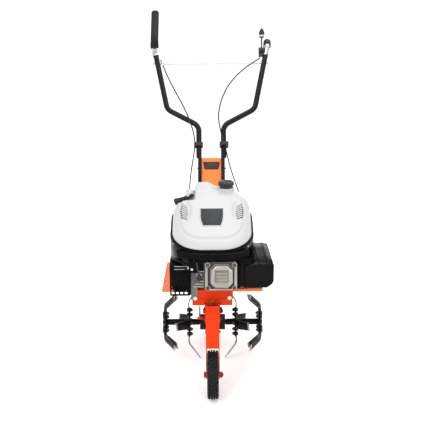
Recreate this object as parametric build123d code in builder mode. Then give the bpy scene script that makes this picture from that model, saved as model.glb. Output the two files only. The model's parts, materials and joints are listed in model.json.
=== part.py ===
"""Petrol tiller with a vertical-shaft engine, worm gearcase, four bolted rotors and one front wheel."""

import os
from math import atan2, cos, degrees, pi, radians, sin, sqrt, tan

from build123d import *

# ---------------------------------------------------------------- driving dimensions (mm)
tine_y = -286.0  # fore and aft place of the tine axle, so that the whole object is centred
axle_z = 130.0  # height of the tine axle above the ground
shaft_r = 8.5
hub_r = 11.0
rotor_r = 136.0
tip_r = 132.0  # the blades' ends are rounded to this radius, so that the lowest just clears the ground
rotor_lean = 17.0  # the inner rotors' lower blades lean forward by this angle
bend_r = 76.0
bend_angle = 38.0
blade_w = 32.0
blade_t = 4.0
inner_x = 85.0
outer_x = 171.0
blade_start = 17.0
blade_bolt_radii = (26.0, 43.0)

wheel_r = 80.0
wheel_w = 38.0
wheel_y = -297.0
rim_r = 50.0
axle_bolt_r = 6.0

sheet_t = 3.0
arm_half = 22.5  # outer half width of the wheel arm
bracket_half = 22.8  # inner half width of the bracket that holds the arm
pivot_y = -165.0
pivot_z = 248.0
lock_y = -168.0
lock_z = 226.0
arm_swing = 55.0
arm_web = 29.0  # distance of the arm's web from the line between its two axles
web_end = 133.0
small_bolt_r = 5.0

deck_z = 310.0
deck_t = 4.0
deck_half = 70.0
deck_front = -130.0
deck_rear = 262.0
flange_z = 276.0
plate_half = 68.0
plate_bottom = 254.0

crank_y = -52.0
worm_y = 40.0
worm_r = 12.0
worm_wheel_r = 27.8
belt_z = 284.0
crank_pulley_r = 24.0
input_pulley_r = 56.0
running = 0.05  # radial clearance of a shaft in its hole

cylinder_z = 395.0
head_front = -212.0
shroud_bottom = 418.0
shroud_half = 141.0
shroud_front = -190.0
shroud_rear = 136.0
shroud_round = 110.0
shell_t = 3.0

slope = 50.0  # the handle's angle from the ground
handle_y = 246.0
handle_z = 310.0
tube_r = 11.0
panel_half = 38.0
panel_top = 390.0
rod_s = 824.0
bend_s = 905.0
grip_r = 16.0
grip_length = 97.0
grip_end = 946.0
grip_z = 1008.0
cable_r = 2.5
rod_r = 2.6

os.makedirs("parts", exist_ok=True)


# ---------------------------------------------------------------- datum planes and small helpers
def level(z):
    """Horizontal plane at height z; its origin is under the tine axle."""
    return Plane(origin=(0, tine_y, z))


def facing(y):
    """Upright plane that faces the front, y behind the tine axle; sketches use X and Z."""
    return Plane(origin=(0, tine_y + y, 0), x_dir=(1, 0, 0), z_dir=(0, -1, 0))


def across(x):
    """Upright plane that faces +X; sketches use the fore and aft distance and Z."""
    return Plane(origin=(x, tine_y, 0), x_dir=(0, 1, 0), z_dir=(1, 0, 0))


def along_arm(x):
    """Plane of the wheel arm's side: origin at the arm's pivot, local x towards the wheel axle."""
    dy, dz = wheel_y - pivot_y, wheel_r - pivot_z
    return Plane(origin=(x, tine_y + pivot_y, pivot_z), x_dir=(0, dy, dz), z_dir=(1, 0, 0))


def on_handle(lift=0.0):
    """Plane of the handle: local x is X, local y runs up the handle, normal points up and forward."""
    e = (0, cos(radians(slope)), sin(radians(slope)))
    n = (0, -sin(radians(slope)), cos(radians(slope)))
    base = (0, tine_y + handle_y + n[1] * lift, handle_z + n[2] * lift)
    return Plane(origin=base, x_dir=(1, 0, 0), z_dir=(0, n[1], n[2]))


def handle_point(x, s, lift=0.0):
    """Point x across, s up the handle and lift above its plane."""
    c, d = cos(radians(slope)), sin(radians(slope))
    return (x, tine_y + handle_y + s * c - lift * d, handle_z + s * d + lift * c)


def save(piece, name):
    piece.part.label = name
    export_step(piece.part, f"parts/{name}.step")


def box(x0, x1, y0, y1, z0, z1, mode=Mode.ADD):
    """Block between two corners, in distances from the tine axle, in the open builder."""
    with Locations(((x0 + x1) / 2, tine_y + (y0 + y1) / 2, (z0 + z1) / 2)):
        Box(x1 - x0, y1 - y0, z1 - z0, mode=mode)


def arc_radii(points, share=0.45):
    """Largest arc at each inner corner of a route, from its shorter run and its turn."""
    radii = []
    for a, b, c in zip(points, points[1:], points[2:]):
        first, second = Vector(*b) - Vector(*a), Vector(*c) - Vector(*b)
        turn = radians(first.get_angle(second))
        radii.append(share * min(first.length, second.length) / tan(turn / 2))
    return radii


def tube_part(points, radii, outer, inner=0.0):
    """Round bar or tube along straight runs joined by arcs."""
    with BuildPart() as piece:
        with BuildLine() as path:
            FilletPolyline(*points, radius=radii)
        start = path.wire() @ 0
        with BuildSketch(Plane(origin=start, z_dir=path.wire() % 0)):
            Circle(outer)
            if inner:
                Circle(inner, mode=Mode.SUBTRACT)
        sweep(path=path.wire())
    return piece


# ---------------------------------------------------------------- frame
engine_bolts_at = [(-55, crank_y - 42), (55, crank_y - 42), (-55, crank_y + 50), (55, crank_y + 50)]
plate_bolts_at = [(-58, 283), (58, 283), (0, 266)]
bar_y = 190.0
bar_w = 30.0
bar_t = 8.0
foot_w = 44.0

with BuildPart() as deck:
    box(-deck_half, deck_half, deck_front, deck_rear, deck_z - deck_t, deck_z)
    for side in (-1, 1):
        x0, x1 = sorted((side * deck_half, side * (deck_half - sheet_t)))
        box(x0, x1, deck_front, deck_rear - 60, flange_z, deck_z - deck_t)
    with BuildSketch(level(deck_z - deck_t)):
        with Locations((0, crank_y)):
            Circle(30)
        with Locations(*engine_bolts_at):
            Circle(4.2)
        with Locations((0, bar_y)):
            Rectangle(bar_w + 0.6, bar_t + 0.6)
        with Locations((-48, 236)):
            Circle(3.2)
    extrude(amount=deck_t, mode=Mode.SUBTRACT)
save(deck, "deck")

with BuildPart() as front_plate:
    with BuildSketch(facing(deck_front)):
        with Locations((0, (plate_bottom + deck_z) / 2)):
            Rectangle(2 * plate_half, deck_z - plate_bottom)
        for x, z in plate_bolts_at:
            with Locations((x, z)):
                Circle(4.2, mode=Mode.SUBTRACT)
        for side in (-1, 1):
            with Locations((side * (bracket_half + sheet_t / 2), plate_bottom + 6)):
                Rectangle(sheet_t + 0.6, 12, mode=Mode.SUBTRACT)
    extrude(amount=4)
save(front_plate, "front_plate")

bracket_outline = [
    (-182, 260),
    (-182, 222),
    (-170, 206),
    (-60, 198),
    (-60, deck_z - deck_t),
    (deck_front, deck_z - deck_t),
    (deck_front, 260),
]
lug_bolts_at = [(-92, 222), (-72, 238)]
spring_seat = 207.0  # tab under the arm spring
with BuildPart() as arm_bracket:
    for side in (-1, 1):
        x0 = min(side * bracket_half, side * (bracket_half + sheet_t))
        with BuildSketch(across(x0)):
            with BuildLine():
                Polyline(*bracket_outline, close=True)
            make_face()
            for y, z in [(pivot_y, pivot_z), (lock_y, lock_z)]:
                with Locations((y, z)):
                    Circle(small_bolt_r + running, mode=Mode.SUBTRACT)
            for y, z in lug_bolts_at:
                with Locations((y, z)):
                    Circle(4.2, mode=Mode.SUBTRACT)
        extrude(amount=sheet_t)
    box(-bracket_half, bracket_half, deck_front + 0.1, deck_front + 8, 280, deck_z - deck_t)
    box(-52, -bracket_half - sheet_t, deck_front - 9, deck_front + 9, spring_seat - 3, spring_seat)
save(arm_bracket, "arm_bracket")

fender_half = 172.0
fender_z = 300.0
with BuildPart() as fenders:
    for side in (-1, 1):
        outline = [
            (side * deck_half, -104),
            (side * fender_half, -104),
            (side * (fender_half - 6), 150),
            (side * deck_half, 150),
        ]
        with BuildSketch(level(fender_z)):
            with BuildLine():
                Polyline(*outline, close=True)
            make_face()
            with Locations((side * 160, -50), (side * 160, 110)):
                Circle(3, mode=Mode.SUBTRACT)
        extrude(amount=2)
        x0, x1 = sorted((side * (deck_half + 0.1), side * fender_half))
        box(x0, x1, -106, -104, fender_z - 8, fender_z + 2)
save(fenders, "fenders")


# ---------------------------------------------------------------- fasteners
def hex_bolt(plane, length, radius, head=True, nut=None):
    """Bolt from the plane along its normal, with a hex head behind it and a nut past the distance nut."""
    with BuildPart() as piece:
        with BuildSketch(plane):
            Circle(radius)
        extrude(amount=length)
        if head:
            with BuildSketch(plane):
                RegularPolygon(radius * 1.9, 6)
            extrude(amount=-radius * 1.2)
        if nut is not None:
            with BuildSketch(plane.offset(nut)):
                RegularPolygon(radius * 1.9, 6)
            extrude(amount=radius * 1.4)
    return piece.part


def group(pieces):
    """Separate solids kept together in one piece."""
    with BuildPart() as whole:
        for piece in pieces:
            add(piece)
    return whole


def bolt_x(half, y, z, radius):
    """Bolt along +X through something half wide each side of the middle, with a nut on its far side."""
    plane = Plane(origin=(-half, tine_y + y, z), z_dir=(1, 0, 0))
    return hex_bolt(plane, 2 * half + 2 * radius, radius, nut=2 * half)


idler_post = (-57.0, 60.0)
zinc = []
for x, z in plate_bolts_at:
    seat = 6 if x < 0 else 4  # the left bolt also holds the muffler's strip
    plane = Plane(origin=(x, tine_y + deck_front - seat, z), z_dir=(0, 1, 0))
    zinc.append(hex_bolt(plane, seat, 4.0))
bracket_out = bracket_half + sheet_t
for y, z in [(pivot_y, pivot_z), (lock_y, lock_z)]:
    zinc.append(bolt_x(bracket_out, y, z, small_bolt_r))
for y, z in lug_bolts_at:
    zinc.append(bolt_x(bracket_out, y, z, 4.0))
for x, y in engine_bolts_at:
    plane = Plane(origin=(x, tine_y + y, deck_z - deck_t), z_dir=(0, 0, 1))
    zinc.append(hex_bolt(plane, deck_t + 10, 4.0))
plane = Plane(origin=(idler_post[0], tine_y + idler_post[1], deck_z - deck_t), z_dir=(0, 0, -1))
zinc.append(hex_bolt(plane, 11, 4.0, head=False))
plane = Plane(origin=(0, tine_y + bar_y + 26, deck_z - deck_t - 22), z_dir=(0, -1, 0))
zinc.append(hex_bolt(plane, 26 - bar_t / 2 - 0.4, 4.0))
frame_bolts = group(zinc)
save(frame_bolts, "frame_bolts")

# ---------------------------------------------------------------- gearcase
case_half = 22.6
boss_r = 28.0
boss_end = 45.0


def gearcase_half(side):
    x0 = min(0.0, side * case_half)
    with BuildPart() as piece:
        with BuildSketch(across(x0)):
            with Locations((0, axle_z)):
                Circle(41)
            with BuildLine():
                Polyline((-104, 204), (-104, 250), (-20, 256), (62, 262), (62, 104), (20, 96), (-38, 146), close=True)
            make_face()
        extrude(amount=case_half)
        with BuildSketch(across(side * case_half)):
            with Locations((0, axle_z)):
                Circle(boss_r)
        extrude(amount=side * (boss_end - case_half))
        with BuildSketch(across(0)):
            with Locations((0, axle_z)):
                Circle(worm_wheel_r + 4)
        extrude(amount=side * 11, mode=Mode.SUBTRACT)
        with BuildSketch(across(0)):
            with Locations((0, axle_z)):
                Circle(shaft_r + running)
        extrude(amount=side * boss_end, mode=Mode.SUBTRACT)
        with BuildSketch(level(112)):
            with Locations((0, worm_y)):
                Circle(worm_r + 2)
        extrude(amount=120, mode=Mode.SUBTRACT)
        with BuildSketch(level(106)):
            with Locations((0, worm_y)):
                Circle(8 + running)
        extrude(amount=200, mode=Mode.SUBTRACT)
        for y, z in lug_bolts_at:
            with BuildSketch(across(0)):
                with Locations((y, z)):
                    Circle(4.2)
            extrude(amount=side * case_half, mode=Mode.SUBTRACT)
        for y, z in case_bolts_at:
            with BuildSketch(across(0)):
                with Locations((y, z)):
                    Circle(3.2)
            extrude(amount=side * case_half, mode=Mode.SUBTRACT)
    return piece


case_bolts_at = [(-34, 152), (-30, 105), (56, 110), (10, 240), (10, 168)]
gearcase_left = gearcase_half(-1)
save(gearcase_left, "gearcase_left")
gearcase_right = gearcase_half(1)
save(gearcase_right, "gearcase_right")

# ---------------------------------------------------------------- worm drive
worm_wheel_teeth = 22
with BuildPart() as worm_wheel:
    with BuildSketch(across(-8)):
        with Locations((0, axle_z)):
            Circle(worm_wheel_r)
            with PolarLocations(worm_wheel_r, worm_wheel_teeth):
                Circle(1.9, mode=Mode.SUBTRACT)
            Circle(shaft_r + 0.1, mode=Mode.SUBTRACT)
    extrude(amount=16)
save(worm_wheel, "worm_wheel")

with BuildPart() as worm_shaft:
    with BuildSketch(level(106.2)):
        with Locations((0, worm_y)):
            Circle(8)
    extrude(amount=belt_z + 12 - 106.2)
    for k in range(7):
        with BuildSketch(level(116 + 5 * k)):
            with Locations((0, worm_y)):
                Circle(worm_r)
        extrude(amount=3)
save(worm_shaft, "worm_shaft")


def pulley(y, radius, bore, half=8.0):
    """V-belt pulley around a vertical shaft; the groove is centred at the belt's height."""
    with BuildPart() as piece:
        with BuildSketch(Plane(origin=(0, tine_y + y, belt_z), x_dir=(1, 0, 0), z_dir=(0, -1, 0))):
            with BuildLine():
                Polyline(
                    (bore, -half),
                    (radius, -half),
                    (radius, -half + 2),
                    (radius - 8, -3),
                    (radius - 8, 3),
                    (radius, half - 2),
                    (radius, half),
                    (bore, half),
                    close=True,
                )
            make_face()
        revolve(axis=Axis((0, tine_y + y, 0), (0, 0, 1)))
    return piece


input_pulley = pulley(worm_y, input_pulley_r, 8.1)
save(input_pulley, "input_pulley")
crank_pulley = pulley(crank_y, crank_pulley_r, 11.1)
save(crank_pulley, "crank_pulley")

# belt: an open loop round the two pulleys, lying in both grooves
belt_gap = 0.4
belt_in_a, belt_in_b = crank_pulley_r - 8 + belt_gap, input_pulley_r - 8 + belt_gap
span = worm_y - crank_y
with BuildPart() as drive_belt:
    for extra, mode in ((6.0, Mode.ADD), (0.0, Mode.SUBTRACT)):
        ra, rb = belt_in_a + extra, belt_in_b + extra
        lean = (rb - ra) / span
        c, s = sqrt(1 - lean * lean), -lean
        with BuildSketch(level(belt_z - 2.5)):
            with Locations((0, crank_y)):
                Circle(ra)
            with Locations((0, worm_y)):
                Circle(rb)
            with BuildLine():
                Polyline(
                    (ra * c, crank_y + ra * s),
                    (rb * c, worm_y + rb * s),
                    (-rb * c, worm_y + rb * s),
                    (-ra * c, crank_y + ra * s),
                    close=True,
                )
            make_face()
        extrude(amount=5, mode=mode)
save(drive_belt, "drive_belt")

# tension idler: an arm that swings about a post under the deck and presses a roller on the belt
idler_at = (-55.0, -16.0)
idler_r = 10.0
with BuildPart() as idler_arm:
    with BuildSketch(level(belt_z + 12)):
        with BuildLine():
            Polyline((-62, 60), (-52, 60), (-50, -16), (-60, -16), close=True)
        make_face()
        with Locations(idler_post, idler_at):
            Circle(6)
        with Locations(idler_post):
            Circle(4 + running, mode=Mode.SUBTRACT)
    extrude(amount=4)
    with BuildSketch(level(belt_z - 7)):
        with Locations(idler_at):
            Circle(3)
    extrude(amount=19)
save(idler_arm, "idler_arm")

with BuildPart() as idler_pulley:
    with BuildSketch(level(belt_z - 6)):
        with Locations(idler_at):
            Circle(idler_r)
            Circle(3.1, mode=Mode.SUBTRACT)
    extrude(amount=12)
save(idler_pulley, "idler_pulley")

# ---------------------------------------------------------------- rear depth bar
with BuildPart() as depth_bar_socket:
    box(-bar_w / 2 - 5, bar_w / 2 + 5, bar_y - 9, bar_y + 9, 244, deck_z - deck_t)
    with BuildSketch(level(244)):
        with Locations((0, bar_y)):
            Rectangle(bar_w + 0.6, bar_t + 0.6)
    extrude(amount=100, mode=Mode.SUBTRACT)
    with BuildSketch(facing(bar_y + 10)):
        with Locations((0, deck_z - deck_t - 22)):
            Circle(4.2)
    extrude(amount=-10, both=True, mode=Mode.SUBTRACT)
save(depth_bar_socket, "depth_bar_socket")

with BuildPart() as depth_bar:
    box(-bar_w / 2, bar_w / 2, bar_y - bar_t / 2, bar_y + bar_t / 2, 14, 392)
    with BuildSketch(across(-foot_w / 2)):
        with BuildLine():
            Polyline((bar_y - 4, 30), (bar_y + 4, 30), (bar_y + 4, 14), (bar_y - 26, 0), (bar_y - 34, 0), close=True)
        make_face()
    extrude(amount=foot_w)
    with BuildSketch(facing(bar_y)):
        with Locations((0, 330), (0, 350), (0, 370)):
            Circle(4)
    extrude(amount=20, both=True, mode=Mode.SUBTRACT)
save(depth_bar, "depth_bar")

# ---------------------------------------------------------------- rotors
with BuildPart() as tine_shaft:
    with BuildSketch(across(-178)):
        with Locations((0, axle_z)):
            Circle(shaft_r)
    extrude(amount=356)
save(tine_shaft, "tine_shaft")

hub_starts = {inner_x: (47.0, 96.5), outer_x: (98.0, outer_x + 6.0)}
rotor_phase = {inner_x: rotor_lean, outer_x: 69.0}


def radial(angle):
    """Unit vector square to the axle; 0 points down and 90 points forward."""
    return (0.0, -sin(radians(angle)), -cos(radians(angle)))


def blade_plane(side, x, angle):
    """Local x runs out along the blade, local y outwards along the axle, origin on the axle."""
    r = radial(angle)
    return Plane(origin=(side * x, tine_y, axle_z), x_dir=r, z_dir=(0, side * r[2], -side * r[1]))


def blade(side, x, angle, outward):
    """Flat bar from near the hub, straight and then bent along the axle."""
    lean = (1 if outward else -1) * tan(radians(bend_angle))
    tip = (rotor_r - bend_r) * lean
    t = blade_t / 2
    with BuildPart() as piece:
        with BuildSketch(blade_plane(side, x, angle)):
            with BuildLine():
                Polyline(
                    (blade_start, t),
                    (bend_r, t),
                    (rotor_r, tip + t),
                    (rotor_r - 4, tip - t),
                    (bend_r, -t),
                    (blade_start, -t),
                    close=True,
                )
            make_face()
        extrude(amount=blade_w / 2, both=True)
        with Locations(Plane(origin=(side * x, tine_y, axle_z), z_dir=(1, 0, 0))):
            Cylinder(radius=tip_r, height=200, mode=Mode.INTERSECT)
        for r in blade_bolt_radii:
            centre = Vector(side * x, tine_y, axle_z) + Vector(*radial(angle)) * r
            with BuildSketch(Plane(origin=centre, z_dir=(1, 0, 0))):
                Circle(4.1)
            extrude(amount=10, both=True, mode=Mode.SUBTRACT)
    return piece.part


def rotor_blades(x):
    pieces = []
    for side in (-1, 1):
        for k in range(4):
            outward = x == inner_x and k % 2 == 1
            pieces.append(blade(side, x, rotor_phase[x] + 90 * k, outward))
    return group(pieces)


inner_blades = rotor_blades(inner_x)
save(inner_blades, "inner_blades")
outer_blades = rotor_blades(outer_x)
save(outer_blades, "outer_blades")

hubs = []
for side in (-1, 1):
    for x in (inner_x, outer_x):
        start, end = hub_starts[x]
        with BuildPart() as hub:
            with BuildSketch(Plane(origin=(side * start, tine_y, axle_z), z_dir=(side, 0, 0))):
                Circle(hub_r)
            extrude(amount=end - start)
            face = x - blade_t / 2 - 4
            with BuildSketch(Plane(origin=(side * face, tine_y, axle_z), z_dir=(side, 0, 0), x_dir=radial(rotor_phase[x]))):
                Rectangle(104, 30)
                Rectangle(30, 104)
                Circle(34)
                with PolarLocations(blade_bolt_radii[0], 4):
                    Circle(4.1, mode=Mode.SUBTRACT)
                with PolarLocations(blade_bolt_radii[1], 4):
                    Circle(4.1, mode=Mode.SUBTRACT)
            extrude(amount=4)
            with BuildSketch(Plane(origin=(0, tine_y, axle_z), z_dir=(side, 0, 0))):
                Circle(shaft_r + 0.1)
            extrude(amount=200, mode=Mode.SUBTRACT)
        hubs.append(hub.part)
tine_hubs = group(hubs)
save(tine_hubs, "tine_hubs")

tine_fasteners = []
for side in (-1, 1):
    for x in (inner_x, outer_x):
        for k in range(4):
            for r in blade_bolt_radii:
                centre = Vector(side * (x + blade_t / 2), tine_y, axle_z) + Vector(*radial(rotor_phase[x] + 90 * k)) * r
                tine_fasteners.append(hex_bolt(Plane(origin=centre, z_dir=(-side, 0, 0)), 17, 4.0, nut=2 * blade_t))
tine_bolts = group(tine_fasteners)
save(tine_bolts, "tine_bolts")

# ---------------------------------------------------------------- front wheel and its arm
with BuildPart() as wheel_arm:
    for side in (-1, 1):
        x0 = min(side * arm_half, side * (arm_half - sheet_t))
        length = sqrt((wheel_y - pivot_y) ** 2 + (wheel_r - pivot_z) ** 2)
        with BuildSketch(along_arm(x0)):
            with BuildLine():
                Polyline(
                    (-10, -arm_web),
                    (web_end, -arm_web),
                    (length + 4, -14),
                    (length + 4, 14),
                    (60, 22),
                    (12, 29),
                    (-8, 29),
                    (-24, 14),
                    (-24, -14),
                    close=True,
                )
            make_face()
            with Locations((length, 0)):
                Circle(14.5)
            with Locations((length, 0)):
                Circle(axle_bolt_r + running, mode=Mode.SUBTRACT)
            Circle(small_bolt_r + running, mode=Mode.SUBTRACT)
            plane = along_arm(0)
            lock = plane.to_local_coords(Vector(0, tine_y + lock_y, lock_z))
            lock_r, lock_a = sqrt(lock.X**2 + lock.Y**2), degrees(atan2(lock.Y, lock.X))
            with PolarLocations(lock_r, 24, start_angle=lock_a, angular_range=arm_swing + 1):
                Circle(small_bolt_r + 0.15, mode=Mode.SUBTRACT)
        extrude(amount=sheet_t)
    with BuildSketch(along_arm(-arm_half)):
        with BuildLine():
            Polyline((-10, -arm_web), (web_end, -arm_web), (web_end, 3 - arm_web), (-10, 3 - arm_web), close=True)
        make_face()
    extrude(amount=2 * arm_half)
save(wheel_arm, "wheel_arm")

wheel_at = Plane(origin=(0, tine_y + wheel_y, wheel_r), x_dir=(0, 1, 0), z_dir=(1, 0, 0))
wheel_axis = Axis((0, tine_y + wheel_y, wheel_r), (1, 0, 0))
half_w = wheel_w / 2
profile_plane = Plane(origin=(0, tine_y + wheel_y, wheel_r), x_dir=(1, 0, 0), z_dir=(0, 1, 0))
with BuildPart() as front_tyre:
    with BuildSketch(profile_plane):
        with BuildLine():
            Polyline(
                (-half_w + 5, -rim_r - 0.2),
                (-half_w, -rim_r - 6),
                (-half_w, -wheel_r + 9),
                (-half_w + 7, -wheel_r),
                (half_w - 7, -wheel_r),
                (half_w, -wheel_r + 9),
                (half_w, -rim_r - 6),
                (half_w - 5, -rim_r - 0.2),
                close=True,
            )
        make_face()
    revolve(axis=wheel_axis)
save(front_tyre, "front_tyre")

with BuildPart() as wheel_rim:
    with BuildSketch(profile_plane):
        with BuildLine():
            Polyline(
                (-half_w, -axle_bolt_r - running),
                (-half_w, -16),
                (-6, -18),
                (-6, -rim_r + 7),
                (-half_w + 3, -rim_r + 5),
                (-half_w + 3, -rim_r),
                (half_w - 3, -rim_r),
                (half_w - 3, -rim_r + 5),
                (6, -rim_r + 7),
                (6, -18),
                (half_w, -16),
                (half_w, -axle_bolt_r - running),
                close=True,
            )
        make_face()
    revolve(axis=wheel_axis)
save(wheel_rim, "wheel_rim")

wheel_axle_bolt = group([bolt_x(arm_half, wheel_y, wheel_r, axle_bolt_r)])
save(wheel_axle_bolt, "wheel_axle_bolt")

# spring from the front plate down to a tab on the bracket
with BuildPart() as arm_spring:
    with BuildSketch(level(spring_seat)):
        with Locations((-44, deck_front - 1)):
            Circle(4)
    extrude(amount=plate_bottom - spring_seat)
save(arm_spring, "arm_spring")

# ---------------------------------------------------------------- engine: block, head and crankshaft
case_r = 72.0
bore_half = 50.0
case_top = 412.0
oil_at = (90.0, 24.0)  # filler neck at the crankcase's right rear
with BuildPart() as crankcase:
    with BuildSketch(level(deck_z)):
        with Locations((0, crank_y)):
            Circle(case_r)
    extrude(amount=case_top - deck_z)
    box(-69, 69, crank_y - 56, crank_y + 66, deck_z, deck_z + 12)
    box(-bore_half + 6, bore_half - 6, head_front + 26, crank_y, cylinder_z - 42, cylinder_z + 42)
    for k in range(6):
        y0 = head_front + 28 + 9 * k
        box(-bore_half, bore_half, y0, y0 + 3, cylinder_z - 48, cylinder_z + 48)
    box(30, 90, 4, 32, deck_z + 6, deck_z + 28)
    with BuildSketch(level(deck_z + 6)):
        with Locations(oil_at):
            Circle(14)
    extrude(amount=379.8 - deck_z - 6)
    with BuildSketch(level(deck_z + 12)):
        with Locations((0, crank_y)):
            Circle(case_r - 12)
    extrude(amount=case_top - deck_z - 24, mode=Mode.SUBTRACT)
    with BuildSketch(level(deck_z - 1)):
        with Locations((0, crank_y)):
            Circle(12 + running)
    extrude(amount=200, mode=Mode.SUBTRACT)
    with BuildSketch(level(deck_z)):
        with Locations(*engine_bolts_at):
            Circle(4.2)
    extrude(amount=12, mode=Mode.SUBTRACT)
save(crankcase, "crankcase")

with BuildPart() as crankshaft:
    with BuildSketch(level(belt_z - 8)):
        with Locations((0, crank_y)):
            Circle(11)
    extrude(amount=deck_z - belt_z + 8)
    with BuildSketch(level(deck_z)):
        with Locations((0, crank_y)):
            Circle(12)
    extrude(amount=480 - deck_z)
    for z in (334, 372):
        box(-22, 22, crank_y - 26, crank_y + 32, z, z + 12)
save(crankshaft, "crankshaft")

flywheel_r = 92.0
fin_count = 16
with BuildPart() as flywheel:
    with BuildSketch(level(446)):
        with Locations((0, crank_y)):
            Circle(flywheel_r)
            Circle(12.1, mode=Mode.SUBTRACT)
    extrude(amount=12)
    for k in range(fin_count):
        turn = 2 * pi * k / fin_count
        plane = Plane(origin=(0, tine_y + crank_y, 458), x_dir=(cos(turn), sin(turn), 0), z_dir=(0, 0, 1))
        with BuildSketch(plane):
            with Locations((70, 0)):
                Rectangle(36, 3)
        extrude(amount=14)
save(flywheel, "flywheel")

head_left, head_right = -62.0, 78.0
rocker_left, rocker_right = -24.0, 81.0
rocker_low, rocker_high = 346.0, 444.0
head_bolts_at = []
for x in (rocker_left + 9, rocker_right - 9):
    head_bolts_at += [(x, rocker_low + 9), (x, rocker_high - 9)]
plug_x, plug_z = -43.0, 396.0
with BuildPart() as cylinder_head:
    box(head_left + 6, rocker_right - 8, head_front + 2, head_front + 25.8, 354, 438)
    for k in range(4):
        y0 = head_front + 6 * k
        box(head_left, head_right, y0, y0 + 2.5, 350, 440)
    with BuildSketch(facing(head_front)):
        with Locations(((rocker_left + rocker_right) / 2, (rocker_low + rocker_high) / 2)):
            RectangleRounded(rocker_right - rocker_left, rocker_high - rocker_low, 10)
    extrude(amount=10)
    with BuildSketch(facing(head_front - 10)):
        with Locations(*head_bolts_at):
            Circle(3.3)
    extrude(amount=-24, mode=Mode.SUBTRACT)
    with BuildSketch(facing(head_front)):
        with Locations((plug_x, plug_z)):
            Circle(7.2)
    extrude(amount=-18, mode=Mode.SUBTRACT)
save(cylinder_head, "cylinder_head")

cover_x = (rocker_left + rocker_right) / 2 + 2
cover_z = 396.5
with BuildPart() as valve_cover:
    with BuildSketch(facing(head_front - 10)):
        with Locations((cover_x, cover_z)):
            Rectangle(72, 79)
    extrude(amount=14)
    chamfer(valve_cover.edges().filter_by(Axis.Y), length=15)
    fillet(valve_cover.faces().sort_by(Axis.Y)[0].edges(), radius=3)
save(valve_cover, "valve_cover")

engine_fasteners = []
for x, z in head_bolts_at:
    plane = Plane(origin=(x, tine_y + head_front - 10, z), z_dir=(0, 1, 0))
    engine_fasteners.append(hex_bolt(plane, 22, 3.2))
for y, z in case_bolts_at:
    engine_fasteners.append(bolt_x(case_half, y, z, 3.1))
engine_bolts = group(engine_fasteners)
save(engine_bolts, "engine_bolts")

with BuildPart() as spark_plug:
    for start, length, radius in ((-17, 17, 7), (0, 5, 9.5), (5, 12, 6), (17, 22, 8.5)):
        with BuildSketch(facing(head_front - start)):
            with Locations((plug_x, plug_z)):
                Circle(radius)
        extrude(amount=length)
save(spark_plug, "spark_plug")

# ---------------------------------------------------------------- exhaust
guard_left, guard_right = -142.0, -73.2
guard_front, guard_back = -166.0, -62.0
guard_low, guard_high = 304.0, 411.0
guard_wall = 1.6
with BuildPart() as muffler:
    box(guard_left + 9, guard_right - 9, guard_front + 9, guard_back - 6, guard_low + 14, guard_high - 8)
    fillet(muffler.edges().filter_by(Axis.Z), radius=14)
    with BuildSketch(across(guard_right - 9)):
        with Locations((-120, 380)):
            Circle(11)
    extrude(amount=-guard_right + 9 - bore_half + 5.8)
save(muffler, "muffler")

with BuildPart() as muffler_guard:
    box(guard_left, guard_right, guard_front, guard_back, guard_low, guard_high)
    fillet(muffler_guard.edges().filter_by(Axis.Z).group_by(Axis.Y)[0], radius=6)
    hollow = [guard_left + guard_wall, guard_right + 5, guard_front + guard_wall, guard_back + 5]
    box(*hollow, guard_low - 5, guard_high - guard_wall, Mode.SUBTRACT)
    with BuildSketch(facing(guard_front)):
        with Locations(((guard_left + guard_right) / 2 - 2, guard_low + 21)):
            with GridLocations(14.5, 11, 4, 3):
                Rectangle(9, 7)
    extrude(amount=guard_wall * 2, both=True, mode=Mode.SUBTRACT)
    with BuildSketch(across(guard_left)):
        with Locations(((guard_front + guard_back) / 2, 350)):
            with GridLocations(20, 14, 4, 5):
                SlotOverall(14, 6)
    extrude(amount=guard_wall * 2, both=True, mode=Mode.SUBTRACT)
save(muffler_guard, "muffler_guard")

with BuildPart() as muffler_strip:
    box(-72, -50, deck_front - 6, deck_front - 4, 274, 394)
    with BuildSketch(facing(deck_front)):
        with Locations(plate_bolts_at[0]):
            Circle(4.2)
    extrude(amount=10, mode=Mode.SUBTRACT)
save(muffler_strip, "muffler_strip")

# ---------------------------------------------------------------- intake
with BuildPart() as carburettor:
    box(bore_half + 0.2, 86.8, -152, -124, 352, 400)
    with BuildSketch(level(338)):
        with Locations((70, -138)):
            Circle(15)
    extrude(amount=14)
save(carburettor, "carburettor")

filter_left, filter_split, filter_right = 87.0, 108.0, 205.0
filter_front, filter_back = -170.0, -20.0
filter_low, filter_top = 332.0, 418.0
with BuildPart() as air_filter_base:
    box(filter_left, filter_split, filter_front, filter_back, filter_low, filter_top)
    fillet(air_filter_base.edges().filter_by(Axis.X), radius=5)
    hollow = [filter_left + 3, filter_split + 5, filter_front + 3, filter_back - 3]
    box(*hollow, filter_low + 3, filter_top - 3, Mode.SUBTRACT)
save(air_filter_base, "air_filter_base")

with BuildPart() as air_filter_cover:
    box(filter_split, filter_right, filter_front, filter_back, filter_low, filter_top)
    with BuildSketch(across(146)):
        with BuildLine():
            Polyline((filter_front, 414), (filter_front, 420), (-20, 444), (-20, 414), close=True)
        make_face()
    extrude(amount=filter_right - 6 - 146)
    outer_low = air_filter_cover.edges().filter_by(Axis.Y).group_by(Axis.Z)[0].sort_by(Axis.X)[-1]
    chamfer(outer_low, length=12)
    hollow = [filter_split - 5, filter_right - 4, filter_front + 4, filter_back - 4]
    box(*hollow, filter_low + 14, filter_top - 4, Mode.SUBTRACT)
save(air_filter_cover, "air_filter_cover")

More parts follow.
